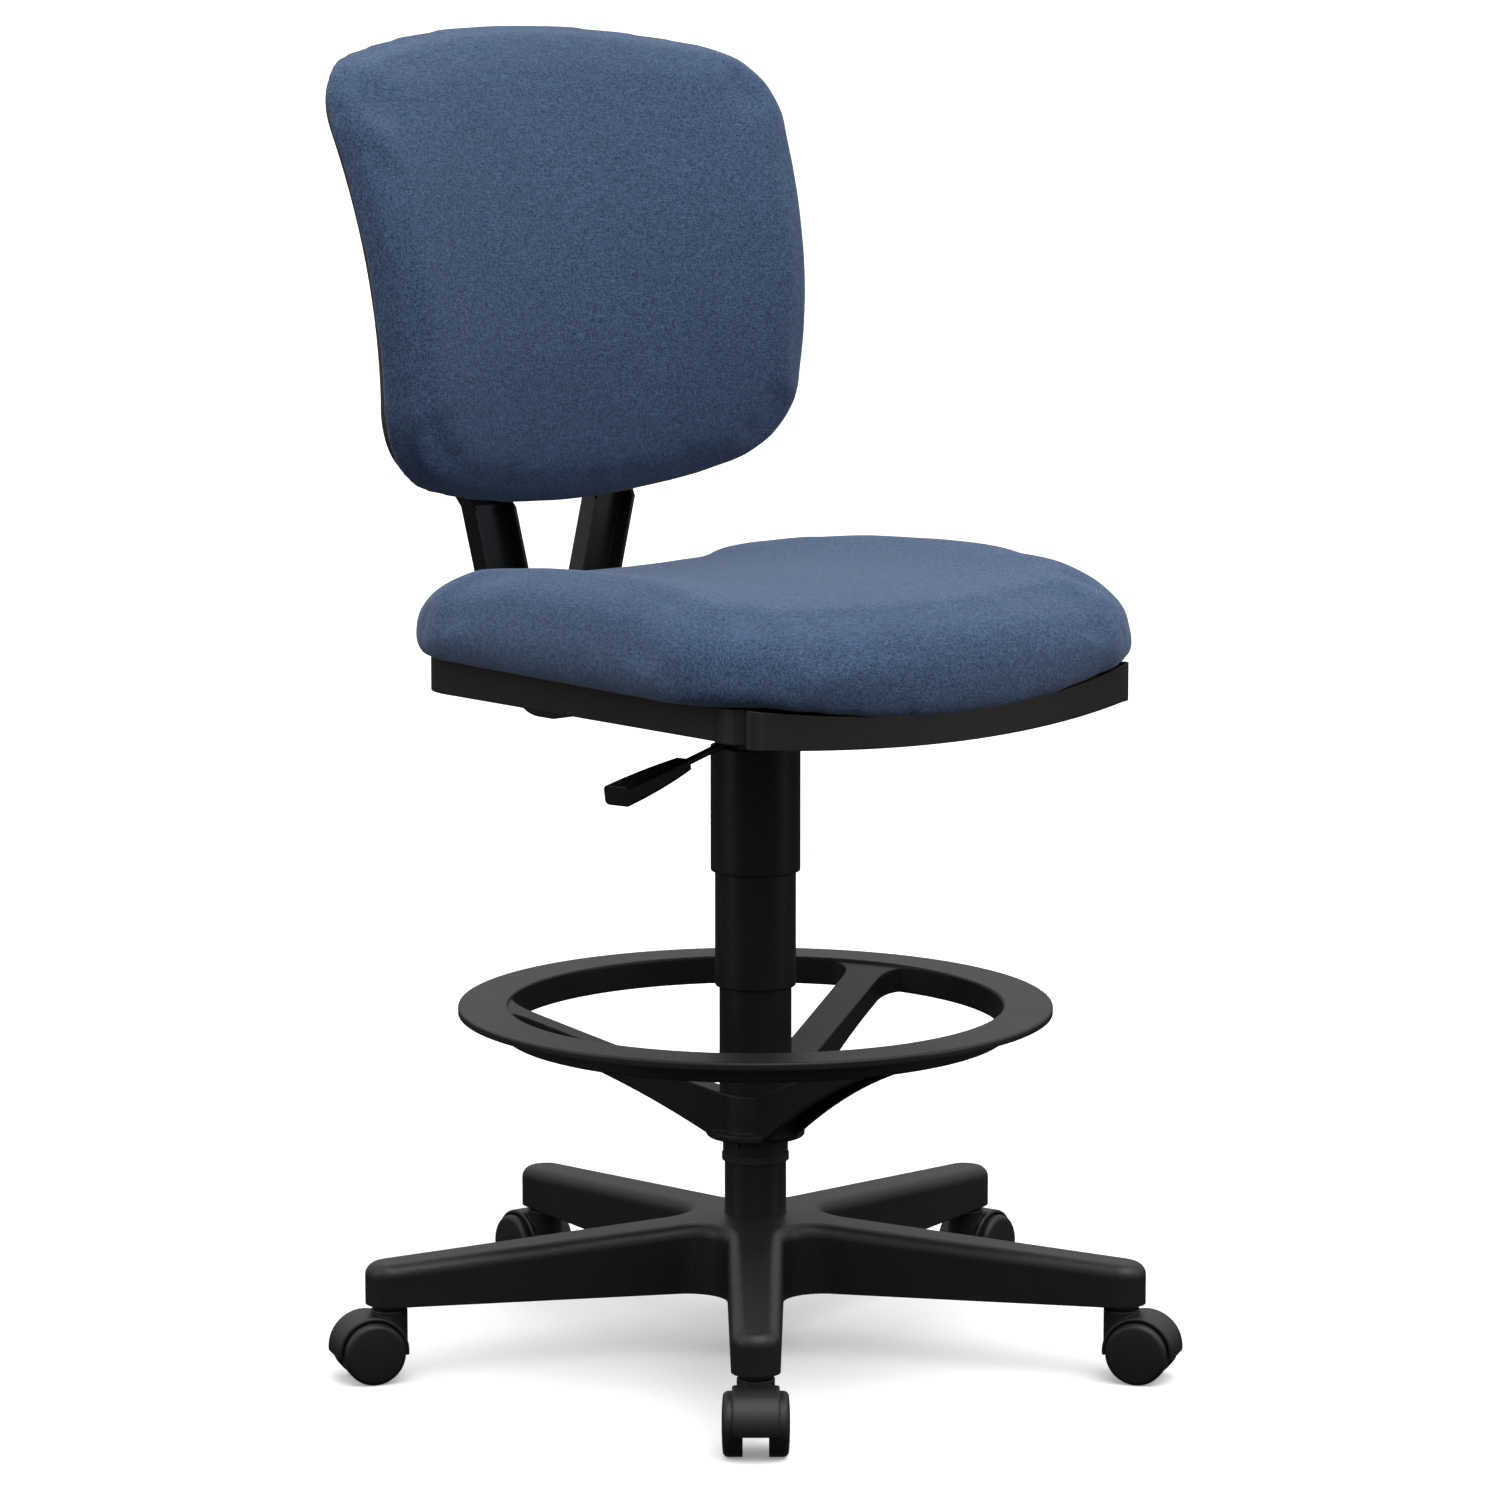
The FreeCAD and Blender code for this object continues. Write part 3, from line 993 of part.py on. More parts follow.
def back_bracket():
    """Bar and V of two channel-shaped arms, open towards the front between their rims."""
    side = bracket_side_profile()
    half = arm_axis_x(ARM_TOP_Z) + ARM_WIDTH
    side.translate(xyz(-half, 0, 0))
    sweep = side.extrude(xyz(2 * half, 0, 0))
    front = ARM_FRONT_Y - 250
    bar = box((-BAR_HALF_WIDTH, BAR_HALF_WIDTH), (front, 400), (400, ARM_FORK_Z))
    arm = Part.Face(polygon(arm_outline(0.0))).extrude(xyz(0, 400, 0))
    arms = [arm.common(box((-half, half), (ARM_FRONT_Y - 20, 400), (0, ARM_TOP_Z + 10)))]
    arms.append(mirrored(arms[0]))
    body = sweep.common(bar.multiFuse(arms))
    pocket = Part.Face(polygon(arm_outline(ARM_RIM))).extrude(xyz(0, 400, 0))
    lowered = bracket_side_profile()
    lowered.translate(xyz(-half, -ARM_RIM, 0))
    pocket = pocket.common(lowered.extrude(xyz(2 * half, 0, 0)))
    pocket = pocket.common(box((-half, half), (0, 400), (ARM_FORK_Z + 12, ARM_KNEE_Z + 15)))
    hollow = pocket.cut(box((-half, half), (ARM_FRONT_Y + ARM_DEPTH - ARM_RIM, 400), (400, ARM_KNEE_Z - 8)))
    body = body.cut(hollow.multiFuse([mirrored(hollow)]))
    rear_pocket = Part.Face(polygon(arm_outline(ARM_RIM))).extrude(xyz(0, 400, 0))
    rear_pocket = rear_pocket.common(box((-half, half), (ARM_TOP_Y + ARM_RIM, 400),
                                         (BACK_BOLT_Z[0] - 2.5 * BOLT_HEAD_R, ARM_TOP_Z - ARM_RIM)))
    body = body.cut(rear_pocket.multiFuse([mirrored(rear_pocket)]))
    body = body.cut(bosses(BOLT_R, ARM_TOP_Y - 5, ARM_TOP_Y + ARM_DEPTH + 5))
    holes = [tube(BOLT_R, 0, SEAT_BASE_Z - 40, SEAT_BASE_Z + 5, spot) for spot in bar_bolt_spots()]
    return body.cut(holes[0].multiFuse(holes[1:])).removeSplitter()


def bracket_bolts():
    low = SEAT_BASE_Z - PLATE_T - BAR_T
    bolts = [joined(hex_head(spot, low - 4, low, HEX_SIZE), tube(BOLT_R, 0, low, SEAT_BASE_Z, spot))
             for spot in bar_bolt_spots()]
    return Part.makeCompound(bolts)


# ---------------------------------------------------------------- assembly
def build_nodes():
    nodes = {
        "base_star": base_star(), "castor_stems": around_legs(castor_stem()),
        "castor_grip_rings": around_legs(grip_ring()), "stand_tube": stand_tube(), "guide_bush": guide_bush(),
        "lower_race": lower_race(), "ball_cage": ball_cage(), "thrust_balls": thrust_balls(),
        "upper_race": upper_race(), "rod_bumper": rod_bumper(), "retaining_clip": retaining_clip(),
        "piston_rod": piston_rod(), "piston": piston(), "gas_cylinder": gas_cylinder(),
        "cylinder_gland": cylinder_gland(), "valve_pin": valve_pin(), "cover_upper": cover_upper(),
        "cover_middle": cover_middle(), "cover_lower": cover_lower(), "foot_ring": foot_ring(),
        "ring_collet": ring_collet(), "collet_band": collet_band(), "seat_plate": seat_plate(),
        "lever_pivot_pin": pivot_pin(), "lever_rod": lever_rod(), "lever_paddle": lever_paddle(),
        "seat_shell": seat_shell(), "seat_board": seat_board(), "seat_tee_nuts": tee_nuts(),
        "seat_bolts": seat_bolts(), "shell_screws": shell_screws(), "seat_cushion": seat_cushion(),
        "back_bracket": back_bracket(), "bracket_bolts": bracket_bolts(), "back_board": back_board(),
        "back_cover": back_cover(), "back_bolts": back_bolts(), "back_cushion": back_cushion()}
    castor = {"hood": castor_hood(), "axle": castor_axle(),
              "wheel_left": castor_wheel(1), "wheel_right": castor_wheel(-1)}
    for index in range(LEG_COUNT):
        for piece, shape in castor.items():
            nodes[f"castor_{index + 1}_{piece}"] = turned(shape, leg_azimuth(index))
    return nodes


def main():
    os.makedirs("parts", exist_ok=True)
    for name, shape in build_nodes().items():
        if not shape.isValid():
            print("INVALID", name)
        volume = sum(solid.Volume for solid in shape.Solids)
        print(f"{name}: {len(shape.Solids)} solid, {volume / 1000:.1f} cm3")
        shape.exportStep(f"parts/{name}.step")


main()
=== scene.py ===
"""Looks of a drafting chair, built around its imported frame.

Everything is in metres in the frame's own axes: +Z up, the sitter faces -Y, their right hand is -X.
"""

import json
import math

import bmesh
import bpy
from bpy.props import FloatProperty, FloatVectorProperty, PointerProperty
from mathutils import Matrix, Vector


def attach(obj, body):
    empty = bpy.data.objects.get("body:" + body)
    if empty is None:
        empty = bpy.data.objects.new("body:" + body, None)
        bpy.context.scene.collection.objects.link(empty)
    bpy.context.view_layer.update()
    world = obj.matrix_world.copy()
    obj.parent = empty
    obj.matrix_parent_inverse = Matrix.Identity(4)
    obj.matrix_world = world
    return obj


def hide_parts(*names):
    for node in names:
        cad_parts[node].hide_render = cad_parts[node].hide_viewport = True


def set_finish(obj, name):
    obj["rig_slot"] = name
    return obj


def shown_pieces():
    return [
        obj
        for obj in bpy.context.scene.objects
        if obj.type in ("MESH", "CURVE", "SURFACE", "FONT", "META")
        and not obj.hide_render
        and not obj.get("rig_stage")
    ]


bl_info = {
    "name": "Drafting Chair",
    "version": (1, 0, 0),
    "blender": (4, 5, 0),
    "location": "3D View > Sidebar > Chair",
    "description": "Upholsters and finishes a drafting chair around its packed frame",
    "category": "Object",
}

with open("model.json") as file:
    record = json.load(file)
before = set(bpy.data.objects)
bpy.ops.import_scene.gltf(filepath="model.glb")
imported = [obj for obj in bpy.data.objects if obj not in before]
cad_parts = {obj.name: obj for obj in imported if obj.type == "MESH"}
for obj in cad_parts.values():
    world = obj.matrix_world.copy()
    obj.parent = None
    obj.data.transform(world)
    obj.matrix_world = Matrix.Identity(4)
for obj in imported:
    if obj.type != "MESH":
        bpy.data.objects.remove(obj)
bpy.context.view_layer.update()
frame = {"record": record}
SLOT_OF = {row["node"]: row["material_slot"] for row in frame["record"]["subparts"]}


# ---------------------------------------------------------------- settings
def length(name, description, default):
    return FloatProperty(name=name, description=description, default=default, unit="LENGTH", precision=4)


def colour(name, description, default):
    return FloatVectorProperty(name=name, description=description, default=default, subtype="COLOR", size=3,
                               min=0.0, max=1.0)


class ChairPads(bpy.types.PropertyGroup):
    """Sizes of the two upholstered pads."""

    seat_ridge: length("Seat ridges", "Rise of the seat's side ridges over its middle", 0.015)
    seat_dip: length("Seat dip", "Fall of the seat's middle towards the back", 0.014)
    seat_girth: length("Seat girth", "How far the seat's sides bulge at mid-height", 0.006)
    seat_edge: length("Seat edge", "Rounding of the seat's top edge", 0.030)
    back_edge: length("Back edge", "Rounding of the back's front edge", 0.015)
    back_crown: length("Back crown", "Rise of the back's middle over its rim", 0.006)
    voxel: length("Cloth mesh", "Size of the cloth mesh before it is subdivided", 0.0055)


class ChairColours(bpy.types.PropertyGroup):
    """Colours of the finishes."""

    fabric: colour("Fabric", "Main yarn of the upholstery", (0.076, 0.126, 0.222))
    fabric_deep: colour("Fabric, deep", "Darker yarn between the main yarns", (0.025, 0.046, 0.092))
    plastic: colour("Plastic", "Moulded black plastic", (0.0085, 0.0085, 0.009))
    powder_coat: colour("Powder coat", "Coating of the steel parts", (0.0075, 0.0075, 0.008))
    rubber: colour("Rubber", "Bands and bumpers", (0.012, 0.012, 0.012))


class ChairStage(bpy.types.PropertyGroup):
    """Floor, lights and camera."""

    floor: colour("Floor", "Plain pale floor", (0.93, 0.93, 0.93))
    glow: FloatProperty(name="Floor glow", description="Light that evens the floor out",
                        default=0.24, min=0.0)
    sky: FloatProperty(name="Sky", description="Strength of the light from straight above",
                       default=1.25, min=0.0)
    ground: FloatProperty(name="Ground", description="Share of the sky's strength from below", default=0.03,
                          min=0.0, max=1.0)
    key: FloatProperty(name="Key light", description="Strength of the main light", default=1.5, min=0.0)
    side: FloatProperty(name="Side lights", description="Power of the two tall side lights",
                        default=8.0, min=0.0)
    lens: FloatProperty(name="Lens", description="Focal length on the camera's sensor, in millimetres",
                        default=136.25)
    distance: length("Distance", "Level distance from the column to the camera", 4.5)
    height: length("Height", "Height of the camera over the floor", 1.1827)
    azimuth: FloatProperty(name="Azimuth", description="Camera's bearing round the chair", subtype="ANGLE",
                           default=math.radians(-42.0))
    tilt: FloatProperty(name="Tilt", description="How far the camera looks down", subtype="ANGLE",
                        default=math.radians(8.726))


# ---------------------------------------------------------------- shader graphs
class Signal:
    """A shader socket that takes part in ordinary arithmetic."""

    def __init__(self, finish, socket):
        self.finish = finish
        self.socket = socket

    def math(self, operation, *values):
        return self.finish.node("ShaderNodeMath", {"operation": operation}, dict(enumerate(values)))

    def __add__(self, other):
        return self.math("ADD", self, other)

    def __sub__(self, other):
        return self.math("SUBTRACT", self, other)

    def __rsub__(self, other):
        return self.math("SUBTRACT", other, self)

    def __mul__(self, other):
        return self.math("MULTIPLY", self, other)

    __radd__ = __add__
    __rmul__ = __mul__

    def between(self, low, high):
        """0 below low, 1 above high, and smooth between them."""
        return self.finish.node("ShaderNodeMapRange", {"interpolation_type": "SMOOTHSTEP"},
                                {"Value": self, "From Min": low, "From Max": high})


class Finish:
    """One procedural material and the nodes that make it."""

    def __init__(self, name, **constants):
        self.material = bpy.data.materials.new(name)
        self.material.use_nodes = True
        self.tree = self.material.node_tree
        self.shader = next(n for n in self.tree.nodes if n.type == "BSDF_PRINCIPLED")
        for socket, value in constants.items():
            self.shader.inputs[socket.replace("_", " ")].default_value = value
        self.place = self.node("ShaderNodeTexCoord", output="Object")

    def node(self, kind, settings=(), inputs=(), output=0):
        """Adds a node: its settings first, then the values or links of its sockets."""
        made = self.tree.nodes.new(kind)
        for name, value in dict(settings).items():
            setattr(made, name, value)
        for name, value in dict(inputs).items():
            if isinstance(value, Signal):
                self.tree.links.new(value.socket, made.inputs[name])
            else:
                made.inputs[name].default_value = value
        return Signal(self, made.outputs[output])

    def noise(self, scale, detail=2.0, roughness=0.5, stretch=(1.0, 1.0, 1.0), shift=0.0):
        """Noise in the piece's own coordinates; scale is in cells per metre."""
        where = self.node("ShaderNodeMapping", (), {"Vector": self.place, "Scale": stretch,
                                                    "Location": (shift, shift, shift)})
        return self.node("ShaderNodeTexNoise", (), {"Vector": where, "Scale": scale, "Detail": detail,
                                                    "Roughness": roughness})

    def mixed(self, share, first, second):
        """A colour between two others."""
        wide = [(*c, 1.0) if isinstance(c, (tuple, list)) and len(c) == 3 else c for c in (first, second)]
        return self.node("ShaderNodeMix", {"data_type": "RGBA"}, {0: share, 6: wide[0], 7: wide[1]}, output=2)

    def drive(self, socket, signal):
        self.tree.links.new(signal.socket, self.shader.inputs[socket])

    def rounded_normal(self, radius):
        """The surface normal with its sharp edges softened."""
        return self.node("ShaderNodeBevel", {"samples": 4}, {"Radius": radius})

    def relief(self, height, depth, normal=None):
        """Bump of a height signal; depth is in metres."""
        inputs = {"Height": height, "Distance": depth, "Strength": 1.0}
        if normal:
            inputs["Normal"] = normal
        self.drive("Normal", self.node("ShaderNodeBump", (), inputs))


def scaled(shade, factor):
    return tuple(min(1.0, channel * factor) for channel in shade)


def woven_fabric(colours):
    """Heathered crepe weave: two crossing sets of uneven yarns over a mottled dye."""
    f = Finish("blue_fabric", Roughness=0.9, Sheen_Weight=0.35, Sheen_Roughness=0.45,
               Sheen_Tint=(0.62, 0.74, 0.95, 1.0), Specular_IOR_Level=0.15)
    warp = f.noise(1.0, 1.0, stretch=(1150.0, 260.0, 260.0))
    weft = f.noise(1.0, 1.0, stretch=(260.0, 1150.0, 1150.0), shift=7.0)
    crepe = f.noise(620.0, 2.0, 0.6)
    weave = warp * 0.5 + weft * 0.5
    yarn = (weave * 0.6 + crepe * 0.4).between(0.38, 0.62)
    mottle = f.noise(9.0, 3.0, 0.55).between(0.3, 0.7)
    slub = f.noise(1.0, 0.0, stretch=(90.0, 900.0, 900.0), shift=3.0).between(0.66, 0.72)
    body = f.mixed(yarn, tuple(colours.fabric_deep), tuple(colours.fabric))
    flecked = f.mixed(slub * 0.3, body, scaled(colours.fabric, 1.55))
    f.drive("Base Color", f.mixed(mottle * 0.16, flecked, scaled(colours.fabric_deep, 0.9)))
    f.relief(weave * 0.6 + crepe * 0.5, 0.0008)
    return f.material


def moulded_plastic(name, shade, roughness, grain, edge):
    """Fine spark-eroded grain, faint flow marks, and scattered patches rubbed a little lighter."""
    f = Finish(name, Specular_IOR_Level=0.36)
    speckle = f.noise(grain, 2.0, 0.6)
    flow = f.noise(14.0, 3.0, 0.5)
    scuff = f.noise(55.0, 6.0, 0.7, stretch=(1.0, 2.2, 0.6)).between(0.60, 0.74)
    tone = f.mixed(flow, scaled(shade, 0.8), scaled(shade, 1.35))
    f.drive("Base Color", f.mixed(scuff * 0.25, tone, scaled(shade, 2.6)))
    f.drive("Roughness", speckle * 0.10 + flow * 0.08 + scuff * 0.12 + (roughness - 0.12))
    f.relief(speckle, 0.00012, f.rounded_normal(edge))
    return f.material


def powder_coat(name, shade, roughness):
    """Baked coat with a soft orange-peel ripple."""
    f = Finish(name, Specular_IOR_Level=0.5)
    peel = f.noise(420.0, 1.0)
    cloud = f.noise(18.0, 4.0)
    rub = f.noise(90.0, 5.0, 0.65).between(0.64, 0.78)
    tone = f.mixed(cloud, scaled(shade, 0.8), scaled(shade, 1.4))
    f.drive("Base Color", f.mixed(rub * 0.2, tone, scaled(shade, 3.0)))
    f.drive("Roughness", peel * 0.08 + cloud * 0.08 + rub * 0.1 + (roughness - 0.1))
    f.relief(peel, 0.00010, f.rounded_normal(0.0008))
    return f.material


def worked_steel(name, shade, roughness, stretch):
    """Bright steel with fine tool marks and a few dull patches."""
    f = Finish(name, Metallic=1.0)
    marks = f.noise(1.0, 2.0, stretch=stretch)
    dull = f.noise(60.0, 4.0).between(0.45, 0.75)
    f.drive("Base Color", f.mixed(dull * 0.5, shade, scaled(shade, 0.72)))
    f.drive("Roughness", marks * 0.14 + dull * 0.12 + roughness)
    f.relief(marks, 0.00005, f.rounded_normal(0.0004))
    return f.material


def soft_rubber(shade):
    f = Finish("black_rubber", Specular_IOR_Level=0.3)
    bloom = f.noise(160.0, 5.0)
    f.drive("Base Color", f.mixed(bloom, scaled(shade, 0.8), scaled(shade, 1.9)))
    f.drive("Roughness", bloom * 0.2 + 0.6)
    f.relief(f.noise(900.0, 2.0), 0.00012, f.rounded_normal(0.0005))
    return f.material


def birch_ply():
    """Long pale grain with darker veneer lines through the thickness."""
    f = Finish("plywood", Roughness=0.62)
    fibre = f.noise(1.0, 4.0, stretch=(14.0, 420.0, 420.0))
    plies = f.node("ShaderNodeTexWave", {"wave_type": "BANDS", "bands_direction": "Z"},
                   {"Vector": f.place, "Scale": 130.0, "Distortion": 0.4, "Detail": 1.0}, output="Fac")
    tone = f.mixed(fibre.between(0.35, 0.65), (0.46, 0.31, 0.17), (0.66, 0.50, 0.31))
    f.drive("Base Color", f.mixed(plies * 0.35, tone, (0.30, 0.19, 0.10)))
    f.relief(fibre, 0.0002)
    return f.material


def finishes(colours):
    """The finish of each of the record's material slots."""
    plastic = tuple(colours.plastic)
    coat = tuple(colours.powder_coat)
    steel = (0.60, 0.60, 0.61)
    return {
        "blue_fabric": woven_fabric(colours),
        "black_nylon": moulded_plastic("black_nylon", scaled(plastic, 1.1), 0.44, 900.0, 0.0022),
        "cover_plastic": moulded_plastic("cover_plastic", scaled(plastic, 0.8), 0.40, 1300.0, 0.0012),
        "shell_plastic": moulded_plastic("shell_plastic", scaled(plastic, 1.5), 0.50, 700.0, 0.0015),
        "lever_plastic": moulded_plastic("lever_plastic", plastic, 0.40, 1100.0, 0.0016),
        "castor_plastic": moulded_plastic("castor_plastic", plastic, 0.42, 1100.0, 0.0014),
        "wheel_nylon": moulded_plastic("wheel_nylon", scaled(plastic, 1.2), 0.46, 1000.0, 0.0012),
        "bush_black": moulded_plastic("bush_black", plastic, 0.45, 1200.0, 0.0006),
        "bush_plastic": moulded_plastic("bush_plastic", (0.68, 0.66, 0.58), 0.45, 1200.0, 0.0006),
        "board_plastic": moulded_plastic("board_plastic", (0.05, 0.05, 0.052), 0.55, 600.0, 0.001),
        "black_steel": powder_coat("black_steel", coat, 0.38),
        "bright_steel": worked_steel("bright_steel", steel, 0.22, (900.0, 900.0, 60.0)),
        "zinc_steel": worked_steel("zinc_steel", (0.52, 0.53, 0.56), 0.34, (500.0, 500.0, 500.0)),
        "black_rubber": soft_rubber(tuple(colours.rubber)),
        "plywood": birch_ply(),
    }


# ---------------------------------------------------------------- mesh helpers
EDGE_SEGMENTS = 6
CLOTH_FRAMES = 20
CLOTH_PRESSURE = 3.0


def new_piece(name, bm, body, slot):
    """Turns a bmesh into a finished object that rides on a body."""
    bmesh.ops.recalc_face_normals(bm, faces=bm.faces)
    mesh = bpy.data.meshes.new(name)
    bm.to_mesh(mesh)
    bm.free()
    mesh.shade_smooth()
    piece = bpy.data.objects.new(name, mesh)
    bpy.context.scene.collection.objects.link(piece)
    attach(piece, body)
    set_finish(piece, slot)
    return piece


def settled(piece):
    """Replaces a piece's mesh with what its modifiers make of it."""
    graph = bpy.context.evaluated_depsgraph_get()
    made = bpy.data.meshes.new_from_object(piece.evaluated_get(graph))
    piece.modifiers.clear()
    old = piece.data
    piece.data = made
    bpy.data.meshes.remove(old)
    made.name = piece.name


def arc_points(start, middle, end, steps):
    """Points from start up to but not including end, on the circle through three points."""
    a, b, c = (Vector(p) for p in (start, middle, end))
    ab, bc = b - a, c - b
    turn = ab.x * bc.y - ab.y * bc.x
    d = 2 * (a.x * (b.y - c.y) + b.x * (c.y - a.y) + c.x * (a.y - b.y))
    aa, bb, cc = a.length_squared, b.length_squared, c.length_squared
    centre = Vector(((aa * (b.y - c.y) + bb * (c.y - a.y) + cc * (a.y - b.y)) / d,
                     (aa * (c.x - b.x) + bb * (a.x - c.x) + cc * (b.x - a.x)) / d))
    first = math.atan2(a.y - centre.y, a.x - centre.x)
    last = math.atan2(c.y - centre.y, c.x - centre.x)
    full = 2 * math.pi
    sweep = (last - first) % full if turn > 0 else -((first - last) % full)
    radius = (a - centre).length
    angles = [first + sweep * step / steps for step in range(steps)]
    return [centre + radius * Vector((math.cos(t), math.sin(t))) for t in angles]


def straight(start, end, steps):
    """Points from start up to but not including end, on the line between them."""
    return [Vector(start).lerp(Vector(end), step / steps) for step in range(steps)]


def mirrored(half):
    """The whole outline from its +X half, whose first and last points lie on the middle line."""
    return half + [Vector((-p.x, p.y)) for p in reversed(half[1:-1])]


def slab(outline, low, high, top_round, low_round):
    """A closed slab over a plan outline, with its top and bottom rims rounded."""
    bm = bmesh.new()
    ring = [bm.verts.new((p.x, p.y, low)) for p in outline]
    base = bm.faces.new(ring)
    raised = bmesh.ops.extrude_face_region(bm, geom=[base])
    moved = [v for v in raised["geom"] if isinstance(v, bmesh.types.BMVert)]
    bmesh.ops.translate(bm, verts=moved, vec=(0, 0, high - low))
    for level, offset in ((high, top_round), (low, low_round)):
        rim = [e for e in bm.edges if all(abs(v.co.z - level) < 1e-6 for v in e.verts)]
        bmesh.ops.bevel(bm, geom=rim, offset=offset, segments=EDGE_SEGMENTS, profile=0.5,
                        affect="EDGES", material=-1)
    return bm


def remeshed(piece, voxel):
    remesh = piece.modifiers.new("Remesh", "REMESH")
    remesh.mode = "VOXEL"
    remesh.voxel_size = voxel
    remesh.use_smooth_shade = True
    settled(piece)


def puffed(piece, cap, hold):
    """Blows a pad up as sewn cloth, moving no point further than cap; hold(point) is 1 where it is held."""
    rest = [v.co.copy() for v in piece.data.vertices]
    group = piece.vertex_groups.new(name="held")
    for index, co in enumerate(rest):
        group.add([index], hold(co), "REPLACE")
    cloth = piece.modifiers.new("Cloth", "CLOTH")
    cloth.settings.quality = 4
    cloth.settings.use_pressure = True
    cloth.settings.uniform_pressure_force = CLOTH_PRESSURE
    cloth.settings.effector_weights.gravity = 0.0
    cloth.settings.vertex_group_mass = "held"
    cloth.point_cache.frame_start = 1
    cloth.point_cache.frame_end = CLOTH_FRAMES
    scene = bpy.context.scene
    for step in range(1, CLOTH_FRAMES + 1):
        scene.frame_set(step)
    settled(piece)
    scene.frame_set(1)
    for vertex, start in zip(piece.data.vertices, rest):
        move = vertex.co - start
        if move.length > cap:
            vertex.co = start + move * (cap / move.length)
    piece.vertex_groups.clear()


def reshaped(piece, rule):
    for vertex in piece.data.vertices:
        vertex.co = rule(vertex.co)
    piece.data.update()


def faced_outwards(piece):
    """Turns every face of a closed mesh to the outside."""
    bm = bmesh.new()
    bm.from_mesh(piece.data)
    bmesh.ops.recalc_face_normals(bm, faces=bm.faces)
    bm.to_mesh(piece.data)
    bm.free()


def subdivided(piece):
    smooth = piece.modifiers.new("Subdivision", "SUBSURF")
    smooth.levels = 1
    smooth.render_levels = 1
    settled(piece)
    piece.data.shade_smooth()


def relaxed(piece, rounds):
    """Evens a mesh out without a modifier left on it."""
    bm = bmesh.new()
    bm.from_mesh(piece.data)
    for _ in range(rounds):
        bmesh.ops.smooth_vert(bm, verts=bm.verts, factor=0.5,
                              use_axis_x=True, use_axis_y=True, use_axis_z=True)
    bm.to_mesh(piece.data)
    bm.free()


def eased(value, low, high):
    """0 below low, 1 above high, and smooth between them."""
    t = max(0.0, min(1.0, (value - low) / (high - low)))
    return t * t * (3 - 2 * t)


# ---------------------------------------------------------------- seat pad
SEAT_RIM = 0.5673
SEAT_TOP = 0.634
SEAT_FRONT = -0.252
SEAT_REAR = 0.218
SEAT_WIDE = 0.236
SEAT_NARROW = 0.216
SEAT_CORNER = 0.085
SEAT_BOW = 0.014
SHELL_DIP = 0.0165
SHELL_REAR = 0.200
SHELL_HALF_WIDTH = 0.205
SEAT_SWELL = 0.002
SEAT_PUFF = 0.007
SEAT_LOW_EDGE = 0.007
SEAT_RELAX_ROUNDS = 4
SEAT_FREE_Z = (SEAT_RIM + 0.002, SEAT_RIM + 0.02)
SEAT_UPPER_Z = (SEAT_RIM + 0.004, SEAT_TOP - 0.012)
SEAT_LOWER_Z = (SEAT_RIM, SEAT_RIM + 0.030)
RIDGE_AT = 0.82
RIDGE_SPREAD = 0.28
FRONT_FALL = 0.007
CORNER_FALL = 0.019
LIP_DROP = 0.004
LIP_Y = (-0.243, -0.212)
REAR_HANG = 0.007


def seat_outline(margin):
    """Plan of the seat pad: wider at the front, large corners and a bowed front edge."""
    front = SEAT_FRONT + margin
    rear = SEAT_REAR - margin
    wide = SEAT_WIDE - margin
    narrow = SEAT_NARROW - margin
    r = SEAT_CORNER
    inward = r * (1 - math.sqrt(0.5))
    shoulder = front + SEAT_BOW
    half = arc_points((0, front), ((wide - r) * 0.5, front + SEAT_BOW * 0.26), (wide - r, shoulder), 8)
    half += arc_points((wide - r, shoulder), (wide - inward, shoulder + inward), (wide, shoulder + r), 12)
    half += straight((wide, shoulder + r), (narrow, rear - r), 8)
    half += arc_points((narrow, rear - r), (narrow - inward, rear - inward), (narrow - r, rear), 12)
    half += straight((narrow - r, rear), (0, rear), 5) + [Vector((0, rear))]
    return mirrored(half)


def seat_form(pads):
    """Rule that gives the flat pad its ridges, dipped middle, full sides and drop over the shell."""
    def rule(co):
        x, y, z = co
        up = eased(z, *SEAT_UPPER_Z)
        down = 1 - eased(z, *SEAT_LOWER_Z)
        # From the middle to a side, and from the front to the rear, as shares of the pad.
        across = abs(x) / SEAT_WIDE
        along = (y - SEAT_FRONT) / (SEAT_REAR - SEAT_FRONT)
        crest = math.exp(-((across - RIDGE_AT) / RIDGE_SPREAD) ** 2)
        ridge = pads.seat_ridge * crest * eased(along, 0.02, 0.45)
        dip = pads.seat_dip * (1 - across ** 2) * eased(along, 0.35, 0.95)
        fall = FRONT_FALL * (1 - eased(along, 0.0, 0.32))
        corner = CORNER_FALL * eased(across, 0.45, 0.95) * eased(along, 0.62, 1.0)
        notch = SHELL_DIP * max(0.0, 1 - (x / SHELL_HALF_WIDTH) ** 2)
        lip = (notch + LIP_DROP) * (1 - eased(y, *LIP_Y))
        level = max(0.0, min(1.0, (z - SEAT_RIM) / (SEAT_TOP - SEAT_RIM)))
        girth = 1 + pads.seat_girth / SEAT_WIDE * 4 * level * (1 - level)
        hang = REAR_HANG * eased(y, SHELL_REAR, SEAT_REAR - 0.004)
        return Vector((x * girth, y * girth, z + up * (ridge - dip - fall - corner) - down * (lip + hang)))
    return rule


